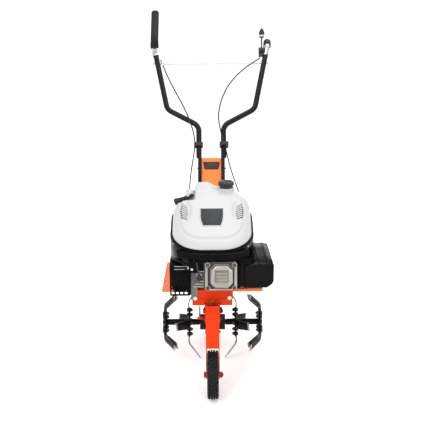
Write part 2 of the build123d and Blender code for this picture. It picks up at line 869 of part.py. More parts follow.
# ---------------------------------------------------------------- blower shroud and engine cover
seam_line = [(-240.0, 464.0), (200.0, 553.0)]  # between shroud and cover, seen from the side
top_line = [(-194, 470), (-192, 484), (-170, 497), (-150, 505), (-20, 562), (96, 612), (122, 604), (138, 582), (142, 536)]
mid_y = (shroud_front + shroud_rear) / 2
depth = shroud_rear - shroud_front


def footprint(inset, low, high):
    """Upright prism of the shroud's plan, set in by inset."""
    with BuildPart() as piece:
        with BuildSketch(level(low)):
            with Locations((0, mid_y)):
                RectangleRounded(2 * (shroud_half - inset), depth - 2 * inset, shroud_round - inset)
        extrude(amount=high - low)
    return piece.part


def below_line(points, floor, drop=0.0):
    """Block under a side-view line."""
    shifted = [(y, z - drop) for y, z in points]
    with BuildPart() as piece:
        with BuildSketch(across(-200)):
            with BuildLine():
                Polyline(*shifted, (points[-1][0], floor), (points[0][0], floor), close=True)
            make_face()
        extrude(amount=400)
    return piece.part


with BuildPart() as blower_shroud:
    add(footprint(0, shroud_bottom, 600))
    add(below_line(seam_line, shroud_bottom - 20, 0.2), mode=Mode.INTERSECT)
    add(footprint(shell_t, shroud_bottom - 10, 620), mode=Mode.SUBTRACT)
    box(head_left - 3, rocker_right + 3, shroud_front - 5, shroud_front + 20, 400, rocker_high + 2, Mode.SUBTRACT)
save(blower_shroud, "blower_shroud")

tank_neck = (51.0, 92.0)
recess = (-150.0, -58.0, 22.0, 150.0, 546.0, 660.0)  # corner of the cover cut away for the starter handle
with BuildPart() as cover_hollow:
    add(footprint(shell_t + 0.2, 400, 700))
    add(below_line(top_line, 380, shell_t + 1), mode=Mode.INTERSECT)
    x0, x1, y0, y1, z0, z1 = recess
    box(x0, x1 + shell_t, y0 - shell_t, y1, z0 - shell_t, z1, Mode.SUBTRACT)

with BuildPart() as engine_cover:
    add(footprint(0.2, shroud_bottom + 20, 680))
    add(below_line(top_line, 400), mode=Mode.INTERSECT)
    add(below_line(seam_line, 300), mode=Mode.SUBTRACT)
    add(cover_hollow.part, mode=Mode.SUBTRACT)
    box(*recess, Mode.SUBTRACT)
    with BuildSketch(level(560)):
        with Locations(tank_neck):
            Circle(26)
    extrude(amount=100, mode=Mode.SUBTRACT)
    with BuildSketch(level(500)):
        for side in (-1, 1):
            for k in range(5):
                with Locations((side * 98, -62 + 13 * k)):
                    Rectangle(26, 5, rotation=side * 35)
    extrude(amount=120, mode=Mode.SUBTRACT)
save(engine_cover, "engine_cover")

with BuildPart() as fuel_tank:
    box(2, 92, 46, 112, 466, 556)
    fillet(fuel_tank.edges().filter_by(Axis.Z), radius=16)
    with BuildSketch(level(556)):
        with Locations(tank_neck):
            Circle(22)
    extrude(amount=55)
    with BuildSketch(level(480)):
        with Locations(tank_neck):
            Circle(18)
    extrude(amount=140, mode=Mode.SUBTRACT)
save(fuel_tank, "fuel_tank")

with BuildPart() as fuel_cap:
    with BuildSketch(level(613.5)):
        with Locations(tank_neck):
            Circle(28.5)
    extrude(amount=15)
    fillet(fuel_cap.faces().sort_by(Axis.Z)[-1].edges(), radius=4)
    with BuildSketch(level(598)):
        with Locations(tank_neck):
            Circle(17.7)
    extrude(amount=15.5)
save(fuel_cap, "fuel_cap")

with BuildPart() as starter_housing:
    with BuildSketch(level(484)):
        with Locations((0, crank_y)):
            Circle(64)
            Circle(60, mode=Mode.SUBTRACT)
    extrude(amount=24)
    with BuildSketch(level(508)):
        with Locations((0, crank_y)):
            Circle(64)
    extrude(amount=4)
save(starter_housing, "starter_housing")

# starter handle: a tapered grip that lies across its pull, in the recess of the cover
handle_wide, handle_tip = (-130.0, 60.0, 561.0), (-65.0, 60.0, 588.0)
with BuildPart() as starter_handle:
    run = Vector(*handle_tip) - Vector(*handle_wide)
    wide_end = Plane(origin=(handle_wide[0], tine_y + handle_wide[1], handle_wide[2]), z_dir=run.normalized())
    with BuildSketch(wide_end):
        Circle(13)
    with BuildSketch(wide_end.offset(run.length)):
        Circle(6)
    loft()
    fillet(starter_handle.edges(), radius=3)
save(starter_handle, "starter_handle")

# oil filler neck's screw cap, right of the crankcase
with BuildPart() as oil_filler_cap:
    with BuildSketch(level(380)):
        with Locations(oil_at):
            RegularPolygon(17, 12)
    extrude(amount=12)
save(oil_filler_cap, "oil_filler_cap")

# ---------------------------------------------------------------- handle
bolt_s = (240.0, 350.0)
with BuildPart() as handle_bracket:
    with BuildSketch(on_handle(-sheet_t)):
        with Locations((0, panel_top / 2)):
            Rectangle(2 * panel_half, panel_top)
    extrude(amount=sheet_t)
    for side in (-1, 1):
        with BuildSketch(on_handle(-24)):
            with Locations((side * (panel_half - sheet_t / 2), panel_top / 2)):
                Rectangle(sheet_t, panel_top)
        extrude(amount=24)
    box(-panel_half, panel_half, 205, handle_y + 4, deck_z, deck_z + 4)
    box(-60, 60, 160, 320, 200, deck_z, Mode.SUBTRACT)
    for s in bolt_s:
        with BuildSketch(Plane(origin=handle_point(-60, s, -11), z_dir=(1, 0, 0))):
            Circle(3.2)
        extrude(amount=120, mode=Mode.SUBTRACT)
save(handle_bracket, "handle_bracket")

flat_from, flat_to = 200.0, 398.0
flat_w = 15.0
tube_x = panel_half + 0.2 + flat_w / 2
for side, name in ((-1, "left"), (1, "right")):
    top = handle_point(side * 237, bend_s)
    end = (side * 245, tine_y + grip_end, grip_z)
    route = [
        handle_point(side * (panel_half + 0.2 + tube_r), flat_to - 6),
        handle_point(side * 49.4, 534),
        handle_point(side * 178, 609),
        top,
        end,
    ]
    tube = tube_part(route, [45, 45, 42], tube_r)
    with BuildPart() as flat:
        with BuildSketch(on_handle(-12.5)):
            with Locations((side * tube_x, (flat_from + flat_to) / 2)):
                Rectangle(flat_w, flat_to - flat_from)
        extrude(amount=25)
        fillet(flat.edges().filter_by(Axis(origin=(0, 0, 0), direction=on_handle().y_dir)), radius=5)
        for s in bolt_s:
            with BuildSketch(Plane(origin=handle_point(side * 30, s, -11), z_dir=(side, 0, 0))):
                Circle(3.2)
            extrude(amount=40, mode=Mode.SUBTRACT)
    with BuildPart() as handle_tube:
        add(tube.part)
        add(flat.part)
        with BuildSketch(Plane(origin=handle_point(side * 200, rod_s), z_dir=(side, 0, 0))):
            Circle(rod_r + 0.1)
        extrude(amount=40, mode=Mode.SUBTRACT)
    save(handle_tube, f"handle_tube_{name}")

for side, name in ((-1, "left"), (1, "right")):
    top = Vector(*handle_point(side * 237, bend_s))
    end = Vector(side * 245, tine_y + grip_end, grip_z)
    run = (end - top).normalized()
    plane = Plane(origin=end - run * grip_length, z_dir=run)
    with BuildPart() as grip:
        with BuildSketch(plane):
            Circle(grip_r)
            Circle(tube_r + 0.05, mode=Mode.SUBTRACT)
        extrude(amount=grip_length + 0.1)
        with BuildSketch(plane.offset(grip_length + 0.1)):
            Circle(grip_r)
        extrude(amount=3)
        for k in range(7):
            with BuildSketch(plane.offset(12 + 14 * k)):
                Circle(grip_r + 2)
                Circle(grip_r - 1.2, mode=Mode.SUBTRACT)
            extrude(amount=3, mode=Mode.SUBTRACT)
    save(grip, f"grip_{name}")

rod_at = handle_point(0, rod_s)
tube_at_rod = 178 + (237 - 178) * (rod_s - 609) / (bend_s - 609)
nut_x = tube_at_rod + tube_r + 1.5
with BuildPart() as cross_rod:
    for x0, radius, length in ((-nut_x - 7, rod_r, 2 * nut_x + 14), (-nut_x - 4.5, 5.2, 4.5), (nut_x, 5.2, 4.5)):
        with BuildSketch(Plane(origin=(x0, rod_at[1], rod_at[2]), z_dir=(1, 0, 0))):
            if radius == rod_r:
                Circle(radius)
            else:
                RegularPolygon(radius, 6)
        extrude(amount=length)
save(cross_rod, "cross_rod")

through_bolts = []
for s in bolt_s:
    place = handle_point(0, s, -11)
    through_bolts.append(bolt_x(panel_half + 0.2 + flat_w + 0.2, place[1] - tine_y, place[2], 3.0))
handle_bolts = group(through_bolts)
save(handle_bolts, "handle_bolts")

# ---------------------------------------------------------------- clutch lever on the left grip
clutch_s = 880.0
clutch_x = -(237 - 0.2 * (bend_s - clutch_s))
ring_from, ring_to = 860.0, 882.0
clutch_pivot = handle_point(clutch_x, clutch_s, 20)
tube_run = Vector(*handle_point(-237, bend_s)) - Vector(*handle_point(-178, 609))
ring_plane = Plane(origin=handle_point(clutch_x + 0.2 * (clutch_s - ring_from), ring_from), z_dir=tube_run.normalized())
with BuildPart() as clutch_bracket:
    with BuildSketch(ring_plane):
        Circle(tube_r + 3)
        Circle(tube_r + 0.05, mode=Mode.SUBTRACT)
    extrude(amount=ring_to - ring_from)
    with BuildSketch(Plane(origin=(clutch_x - 6, clutch_pivot[1], clutch_pivot[2]), x_dir=(0, 1, 0), z_dir=(1, 0, 0))):
        Circle(7)
        with Locations((5.5, -6)):
            Rectangle(14, 12, rotation=slope)
    extrude(amount=12)
    with BuildSketch(Plane(origin=(clutch_x - 8, clutch_pivot[1], clutch_pivot[2]), x_dir=(0, 1, 0), z_dir=(1, 0, 0))):
        Circle(3 + running)
    extrude(amount=16, mode=Mode.SUBTRACT)
    with BuildSketch(ring_plane.offset(-0.1)):
        Circle(tube_r + 0.05)
    extrude(amount=60, both=True, mode=Mode.SUBTRACT)
save(clutch_bracket, "clutch_bracket")

lever_w, lever_t = 32.0, 12.0
elbow = (-12.0, 44.0)
lever_tip = (90.0, 154.0)
with BuildPart() as clutch_lever:
    side_plane = Plane(origin=(clutch_x, clutch_pivot[1], clutch_pivot[2]), x_dir=(0, 1, 0), z_dir=(1, 0, 0))
    with BuildSketch(side_plane):
        with BuildLine():
            FilletPolyline((-3, 16), elbow, lever_tip, radius=28)
        trace(line_width=lever_t)
    extrude(amount=lever_w / 2, both=True)
    for side in (-1, 1):
        with BuildSketch(side_plane.offset(side * 6.4)):
            Circle(7)
            with Locations((-3, 12)):
                Rectangle(14, 24, rotation=8)
        extrude(amount=side * 3.6)
    with BuildSketch(side_plane.offset(-10)):
        Circle(3)
    extrude(amount=20)
    fillet(clutch_lever.edges().filter_by(Axis.X).sort_by(Axis.Z)[-2:], radius=5.5)
save(clutch_lever, "clutch_lever")

# ---------------------------------------------------------------- throttle on the right tube's inner side
throttle_x = 213.0
throttle_y, throttle_z = 812.0, 988.0
throttle_at = Plane(origin=(throttle_x, tine_y + throttle_y, throttle_z), x_dir=(0, 1, 0), z_dir=(1, 0, 0))
with BuildPart() as throttle_housing:
    for side in (-1, 1):
        x0 = 1 if side > 0 else -9
        with BuildSketch(throttle_at.offset(x0 + 3 * side)):
            Circle(15)
            with Locations((-6, -14)):
                Rectangle(18, 16, rotation=slope - 90)
        extrude(amount=8)
    with BuildSketch(throttle_at.offset(-6)):
        with Locations((-8, -16)):
            Rectangle(18, 9, rotation=slope - 90)
    extrude(amount=12)
    with BuildSketch(throttle_at.offset(-14)):
        Circle(3 + running)
    extrude(amount=28, mode=Mode.SUBTRACT)
    tube_plane = Plane(origin=handle_point(178, 609), z_dir=(Vector(*handle_point(237, bend_s)) - Vector(*handle_point(178, 609))).normalized())
    with BuildSketch(tube_plane.offset(200)):
        Circle(tube_r + 0.8)
    extrude(amount=110, mode=Mode.SUBTRACT)
save(throttle_housing, "throttle_housing")

with BuildPart() as throttle_lever:
    with BuildSketch(throttle_at.offset(-3)):
        Circle(10)
        with Locations((0, 32)):
            Rectangle(12, 56)
    extrude(amount=6)
    with BuildSketch(throttle_at.offset(-9)):
        Circle(3)
    extrude(amount=15)
    knob = Plane(origin=(throttle_x, tine_y + throttle_y, throttle_z + 54), z_dir=(0, 0, 1))
    with BuildSketch(knob):
        RectangleRounded(24, 18, 8)
    with BuildSketch(knob.offset(20)):
        RectangleRounded(26, 20, 9)
    with BuildSketch(knob.offset(40)):
        RectangleRounded(10, 8, 3.9)
    loft()
save(throttle_lever, "throttle_lever")


# ---------------------------------------------------------------- control cables and their clips
def along_handle(points):
    return [handle_point(*point) for point in points]


def in_world(points):
    return [(x, tine_y + y, z) for x, y, z in points]


clutch_route = along_handle(
    [
        (-207, 838, 13),
        (-186, 774, 16),
        (-161, 714, 20),
        (-134, 656, 24),
        (-108, 602, 26),
        (-86, 548, 22),
        (-70, 494, 12),
        (-64, 446, 8),
        (-71, 392, 6),
        (-80, 336, -2),
        (-86, 280, -10),
        (-88, 226, -18),
    ]
)
clutch_route += in_world([(-88, 368, 422), (-84, 334, 380), (-73, 300, 348), (-58, 268, 330), (-49, 240, 318)])
throttle_route = along_handle(
    [
        (206, 842, 14),
        (152, 800, 20),
        (103, 750, 26),
        (64, 692, 30),
        (39, 628, 30),
        (28, 565, 26),
        (36, 505, 20),
        (52, 448, 14.5),
        (62, 400, 11),
        (76, 340, 0),
        (94, 284, -7),
        (112, 230, -14),
    ]
)
throttle_route += in_world(
    [
        (121, 362, 436),
        (126, 312, 410),
        (126, 258, 396),
        (122, 200, 391),
        (119, 142, 388),
        (117, 84, 392),
        (110, 36, 402),
        (86, 2, 404),
        (80, -56, 402),
        (76, -100, 396),
    ]
)
for name, route in (("clutch_cable", clutch_route), ("throttle_cable", throttle_route)):
    radii = arc_radii(route)
    print(name, "radii", [round(r) for r in radii])
    cable = tube_part(route, radii, cable_r)
    length = cable.part.volume / (pi * cable_r**2)
    print(name, "length", round(length))
    save(cable, name)

clip_s = 446.0
clips = []
for side, cable_x, lift, hole_r in ((-1, -64, 8, cable_r + 1.9), (1, 51.8, 14.5, cable_r + 2.6)):
    plane = Plane(origin=handle_point(0, clip_s - 8), x_dir=(1, 0, 0), z_dir=on_handle().y_dir)
    tube_cx = side * 49.4
    with BuildPart() as clip:
        with BuildSketch(plane):
            with Locations((tube_cx + side * 1.5, -2 if side < 0 else -3)):
                RectangleRounded(36, 30 if side < 0 else 36, 8)
        extrude(amount=16)
        with BuildSketch(plane.offset(-30)):
            with Locations((tube_cx, 0)):
                Circle(tube_r + 0.4)
            with Locations((cable_x, -lift)):
                Circle(hole_r)
            if side > 0:
                with Locations((cable_x, -lift / 2 - 1)):
                    Rectangle(2 * hole_r - 1, lift)
        extrude(amount=80, mode=Mode.SUBTRACT)
    clips.append(clip.part)
cable_clips = group(clips)
save(cable_clips, "cable_clips")
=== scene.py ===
import json
import math
import bmesh
import bpy
from mathutils import Matrix, Vector

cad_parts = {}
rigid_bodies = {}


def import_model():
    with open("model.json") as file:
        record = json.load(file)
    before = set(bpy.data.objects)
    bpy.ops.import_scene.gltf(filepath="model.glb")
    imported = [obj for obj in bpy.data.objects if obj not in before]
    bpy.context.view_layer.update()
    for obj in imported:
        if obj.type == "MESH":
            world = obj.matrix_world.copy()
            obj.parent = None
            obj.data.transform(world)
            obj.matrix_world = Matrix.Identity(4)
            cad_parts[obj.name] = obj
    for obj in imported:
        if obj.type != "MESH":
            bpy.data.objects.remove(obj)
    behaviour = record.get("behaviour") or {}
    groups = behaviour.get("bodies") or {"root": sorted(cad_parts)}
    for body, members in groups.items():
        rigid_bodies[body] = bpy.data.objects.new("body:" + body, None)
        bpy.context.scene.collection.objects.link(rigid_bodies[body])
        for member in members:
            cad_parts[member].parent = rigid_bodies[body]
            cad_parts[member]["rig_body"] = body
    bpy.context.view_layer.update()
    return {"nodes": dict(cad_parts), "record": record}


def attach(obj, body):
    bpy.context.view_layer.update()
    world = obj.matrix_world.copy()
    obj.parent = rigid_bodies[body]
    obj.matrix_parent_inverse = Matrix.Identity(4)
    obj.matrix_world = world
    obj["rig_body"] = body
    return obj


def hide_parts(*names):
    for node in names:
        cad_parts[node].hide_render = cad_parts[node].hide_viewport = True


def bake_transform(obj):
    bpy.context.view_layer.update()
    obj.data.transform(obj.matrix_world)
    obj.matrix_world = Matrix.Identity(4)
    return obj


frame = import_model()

NODES = frame["nodes"]
TINE_Y = -0.286  # the tine axle, which every y below is measured from
MM = 0.001
RIGHT, BACK, UP, FORWARD = (1, 0, 0), (0, 1, 0), (0, 0, 1), (0, -1, 0)


# ---- materials
def node(tree, kind, **inputs):
    made = tree.nodes.new(kind)
    for key, value in inputs.items():
        name = key.replace("_", " ")
        if name in made.inputs:
            made.inputs[name].default_value = value
        else:
            setattr(made, key, value)
    return made


def noise(tree, vector, scale, detail=3.0, rough=0.55, stretch=None):
    if stretch:
        mapping = node(tree, "ShaderNodeMapping")
        mapping.inputs["Scale"].default_value = stretch
        tree.links.new(vector, mapping.inputs["Vector"])
        vector = mapping.outputs[0]
    made = node(tree, "ShaderNodeTexNoise", Scale=scale, Detail=detail, Roughness=rough)
    tree.links.new(vector, made.inputs["Vector"])
    return made.outputs["Fac"]


def ramp(tree, value, low, high, to_low=0.0, to_high=1.0):
    made = node(tree, "ShaderNodeMapRange")
    made.interpolation_type = "SMOOTHSTEP"
    made.inputs["From Min"].default_value = low
    made.inputs["From Max"].default_value = high
    made.inputs["To Min"].default_value = to_low
    made.inputs["To Max"].default_value = to_high
    tree.links.new(value, made.inputs["Value"])
    return made.outputs["Result"]


def mix(tree, factor, a, b):
    made = node(tree, "ShaderNodeMix")
    made.data_type = "RGBA"
    tree.links.new(factor, made.inputs["Factor"])
    for socket, colour in ((made.inputs[6], a), (made.inputs[7], b)):
        if isinstance(colour, (tuple, list)):
            socket.default_value = (*colour, 1.0)
        else:
            tree.links.new(colour, socket)
    return made.outputs[2]


def times(tree, a, b):
    made = node(tree, "ShaderNodeMath", operation="MULTIPLY")
    for socket, value in zip(made.inputs, (a, b)):
        if isinstance(value, (int, float)):
            socket.default_value = value
        else:
            tree.links.new(value, socket)
    return made.outputs[0]


def shade(colour, k):
    return tuple(min(1.0, c * k) for c in colour)


def finish_of(
    name,
    colour,
    rough,
    metallic=0.0,
    vary=0.12,
    vary_scale=9.0,
    rough_vary=0.12,
    bumps=((700.0, 0.25, 0.00008),),
    stretch=None,
    dust=None,
    dust_amount=0.25,
    wear=None,
    wear_width=0.0012,
    specular=0.5,
):
    """Procedural finish: varied colour, uneven gloss, fine bumps, patches of dust, worn edges."""
    made = bpy.data.materials.new(name)
    made.use_nodes = True
    tree = made.node_tree
    shader = tree.nodes["Principled BSDF"]
    where = node(tree, "ShaderNodeTexCoord").outputs["Object"]
    shader.inputs["Metallic"].default_value = metallic
    shader.inputs["Specular IOR Level"].default_value = specular
    patches = noise(tree, where, vary_scale, 4.0)
    tint = mix(tree, ramp(tree, patches, 0.3, 0.7), shade(colour, 1 - vary), shade(colour, 1 + vary))
    fine = noise(tree, where, vary_scale * 14, 5.0, 0.65, stretch)
    tint = mix(tree, ramp(tree, fine, 0.35, 0.75, 0.0, 0.5), tint, shade(colour, 1 + vary * 0.8))
    uneven = noise(tree, where, vary_scale * 5, 4.0, 0.6, stretch)
    gloss = ramp(tree, uneven, 0.3, 0.7, max(0.04, rough - rough_vary), min(1.0, rough + rough_vary))
    if dust:
        settled = noise(tree, where, 38.0, 6.0, 0.7)
        factor = ramp(tree, settled, 0.52, 0.8, 0.0, dust_amount)
        tint = mix(tree, factor, tint, dust)
    if wear:
        bevel = node(tree, "ShaderNodeBevel", samples=4)
        bevel.inputs["Radius"].default_value = wear_width
        flat = node(tree, "ShaderNodeNewGeometry").outputs["Normal"]
        dot = node(tree, "ShaderNodeVectorMath", operation="DOT_PRODUCT")
        tree.links.new(bevel.outputs[0], dot.inputs[0])
        tree.links.new(flat, dot.inputs[1])
        edge = ramp(tree, dot.outputs["Value"], 0.995, 0.93)
        chips = ramp(tree, noise(tree, where, 160.0, 5.0, 0.7), 0.5, 0.62)
        tint = mix(tree, times(tree, edge, chips), tint, wear)
    tree.links.new(tint, shader.inputs["Base Color"])
    tree.links.new(gloss, shader.inputs["Roughness"])
    normal = None
    for scale, strength, distance in bumps:
        bump = node(tree, "ShaderNodeBump", Strength=strength, Distance=distance)
        tree.links.new(noise(tree, where, scale, 3.0, 0.6, stretch), bump.inputs["Height"])
        if normal:
            tree.links.new(normal, bump.inputs["Normal"])
        normal = bump.outputs[0]
    if normal:
        tree.links.new(normal, shader.inputs["Normal"])
    return made


PAINT_GRAIN = ((420.0, 0.2, 0.0001), (60.0, 0.08, 0.0004))
PAINT_EDGE = (0.35, 0.05, 0.01)
FINE_GRAIN = ((900.0, 0.35, 0.0001), (160.0, 0.15, 0.0002))
SOIL = (0.30, 0.24, 0.19)
LOOKS = {
    "orange_paint": dict(
        colour=(0.70, 0.058, 0.001), rough=0.4, specular=0.14, vary=0.08, bumps=PAINT_GRAIN, wear=PAINT_EDGE
    ),
    "black_paint": dict(
        colour=(0.004, 0.004, 0.0045), rough=0.36, specular=0.1, vary=0.2,
        bumps=((500.0, 0.22, 0.0001), (70.0, 0.08, 0.0003)), dust=(0.03, 0.028, 0.026), dust_amount=0.2,
        wear=(0.08, 0.08, 0.08),
    ),
    "zinc_bolts": dict(
        colour=(0.66, 0.6, 0.42), rough=0.34, metallic=0.45, vary=0.22, vary_scale=60.0,
        bumps=((1500.0, 0.2, 0.00005),),
    ),
    "steel": dict(
        colour=(0.5, 0.5, 0.51), rough=0.3, metallic=0.9, vary=0.12, vary_scale=40.0,
        bumps=((900.0, 0.25, 0.00004),), stretch=(1.0, 0.08, 1.0),
    ),
    "grey_strip": dict(colour=(0.2, 0.2, 0.2), rough=0.42, specular=0.3, bumps=((600.0, 0.2, 0.0001),)),
    "cast_iron": dict(
        colour=(0.014, 0.009, 0.008), rough=0.45, specular=0.14, vary=0.25,
        bumps=((340.0, 0.6, 0.0004), (90.0, 0.25, 0.0006)), dust=SOIL, dust_amount=0.12,
    ),
    "engine_aluminium": dict(
        colour=(0.34, 0.325, 0.285), rough=0.42, metallic=0.85, vary=0.14, vary_scale=22.0,
        bumps=((1100.0, 0.6, 0.0002), (260.0, 0.25, 0.0003)), dust=(0.25, 0.23, 0.2), dust_amount=0.25,
    ),
    "cover_plastic": dict(
        colour=(0.45, 0.452, 0.456), rough=0.3, specular=0.4, vary=0.0, rough_vary=0.0, bumps=()
    ),
    "black_plastic": dict(
        colour=(0.0022, 0.0022, 0.0026), rough=0.17, specular=0.09, vary=0.2, rough_vary=0.08,
        bumps=((300.0, 0.08, 0.0001), (22.0, 0.05, 0.0008)), dust=(0.014, 0.014, 0.013), dust_amount=0.2,
    ),
    "grey_plastic": dict(
        colour=(0.024, 0.025, 0.027), rough=0.48, specular=0.2, vary=0.15, bumps=FINE_GRAIN
    ),
    "exhaust_black": dict(
        colour=(0.0025, 0.0025, 0.0025), rough=0.5, specular=0.05, vary=0.3,
        bumps=((480.0, 0.4, 0.0002), (120.0, 0.2, 0.0003)), dust=(0.014, 0.013, 0.012), dust_amount=0.15,
    ),
    "tyre_rubber": dict(
        colour=(0.008, 0.008, 0.009), rough=0.55, specular=0.2, vary=0.25,
        bumps=((1200.0, 0.4, 0.0002), (200.0, 0.2, 0.0003)), dust=(0.03, 0.028, 0.026), dust_amount=0.25,
    ),
    "grip_rubber": dict(
        colour=(0.01, 0.01, 0.011), rough=0.6, specular=0.16, vary=0.15, bumps=((1500.0, 0.35, 0.0001),),
        dust=(0.08, 0.078, 0.075),
    ),
    "cable_sheath": dict(
        colour=(0.008, 0.008, 0.009), rough=0.4, specular=0.2, vary=0.15, bumps=((900.0, 0.15, 0.0001),)
    ),
    "belt_rubber": dict(colour=(0.02, 0.02, 0.02), rough=0.75, bumps=((1400.0, 0.5, 0.0002),)),
    "rim_plastic": dict(
        colour=(0.01, 0.01, 0.011), rough=0.42, specular=0.2, vary=0.15, bumps=FINE_GRAIN,
        dust=(0.09, 0.085, 0.08),
    ),
    "brass_wheel": dict(colour=(0.75, 0.5, 0.2), rough=0.32, metallic=1.0, bumps=((900.0, 0.3, 0.0001),)),
    "tank_plastic": dict(colour=(0.05, 0.05, 0.052), rough=0.5, bumps=FINE_GRAIN),
    "lever_coat": dict(
        colour=(0.01, 0.01, 0.011), rough=0.5, specular=0.16, vary=0.12,
        bumps=((700.0, 0.3, 0.0001), (40.0, 0.1, 0.0006)), dust=(0.07, 0.068, 0.065), dust_amount=0.2,
    ),
}
FINISH = {name: finish_of(name, **look) for name, look in LOOKS.items()}
DARK_BOLTS = finish_of("dark_bolts", (0.05, 0.05, 0.052), 0.35, metallic=0.6, vary=0.2, vary_scale=50.0)


def bare_above(name, height, colour, metal):
    """The dark colour below the height, bare metal above it; on the handle tubes the metal top is also a
    painted highlight for the white glint on their bends.
    """
    made = finish_of(name, colour, 0.36, specular=0.14, vary=0.2, bumps=((500.0, 0.2, 0.0001),))
    tree = made.node_tree
    shader = tree.nodes["Principled BSDF"]
    split = node(tree, "ShaderNodeSeparateXYZ")
    tree.links.new(node(tree, "ShaderNodeTexCoord").outputs["Object"], split.inputs[0])
    share = ramp(tree, split.outputs["Z"], height - 0.0006, height + 0.0006)
    below = shader.inputs["Base Color"].links[0].from_socket
    tree.links.new(mix(tree, share, below, metal), shader.inputs["Base Color"])
    tree.links.new(share, shader.inputs["Metallic"])
    return made


# Handle tubes: black paint below, and bare steel above that also serves as a painted highlight for the
# white glint on their bends
TUBE_PAINT_AND_HIGHLIGHT = bare_above("tube_paint_and_highlight", 0.977, (0.006, 0.006, 0.007), (0.5, 0.5, 0.51))
ARM_BOLTS = bare_above("arm_bolts", 0.2585, (0.035, 0.014, 0.012), (0.66, 0.6, 0.42))
# Orange paint made redder as painted shade, for the deck, front plate, wheel arm and arm bracket; the real
# paint is the same orange
SHADED_ORANGE = finish_of(
    "shaded_orange_paint", (0.70, 0.036, 0.001), 0.4, specular=0.14, vary=0.08, bumps=PAINT_GRAIN, wear=PAINT_EDGE
)
# Orange paint made lighter as painted light, for the top-lit handle bracket and fenders; the real paint is
# the same orange
LIT_ORANGE = finish_of("lit_orange_paint", (0.95, 0.19, 0.04), 0.4, specular=0.14, vary=0.06, bumps=PAINT_GRAIN)
DARK_RED = finish_of("dark_red", (0.3, 0.02, 0.012), 0.4, specular=0.14, vary=0.1, bumps=PAINT_GRAIN)
OWN_FINISH = {
    **dict.fromkeys(("tine_bolts", "engine_bolts"), DARK_BOLTS),
    **dict.fromkeys(("deck", "front_plate", "wheel_arm", "arm_bracket"), SHADED_ORANGE),
    **dict.fromkeys(("handle_bracket", "fenders"), LIT_ORANGE),
    **dict.fromkeys(("handle_tube_left", "handle_tube_right"), TUBE_PAINT_AND_HIGHLIGHT),
    "wheel_axle_bolt": DARK_RED,
    "frame_bolts": ARM_BOLTS,
}
SLOT_OF = {s["node"]: s["material_slot"] for s in frame["record"]["subparts"]}


# ---- mesh tools
def soften(obj, width):
    """Small rounded edges and even shading, as modifiers."""
    weld = obj.modifiers.new("weld", "WELD")
    weld.merge_threshold = 1e-6
    bevel = obj.modifiers.new("edges", "BEVEL")
    bevel.width = width
    bevel.segments = 2
    bevel.limit_method = "ANGLE"
    bevel.angle_limit = math.radians(32)
    bevel.use_clamp_overlap = False
    bevel.miter_outer = "MITER_ARC"
    normals = obj.modifiers.new("normals", "WEIGHTED_NORMAL")
    normals.keep_sharp = False


def circle(radius, steps):
    """Points round a circle, as (u, v)."""
    angles = [2 * math.pi * k / steps for k in range(steps)]
    return [(radius * math.cos(a), radius * math.sin(a)) for a in angles]


def join_rings(part, rings, ends=True):
    """Faces between neighbouring rings of corners, and over the two ends."""
    for a, b in zip(rings, rings[1:]):
        for k in range(len(a)):
            j = (k + 1) % len(a)
            part.faces.new((a[k], a[j], b[j], b[k]))
    if ends:
        part.faces.new(rings[0])
        part.faces.new(rings[-1])


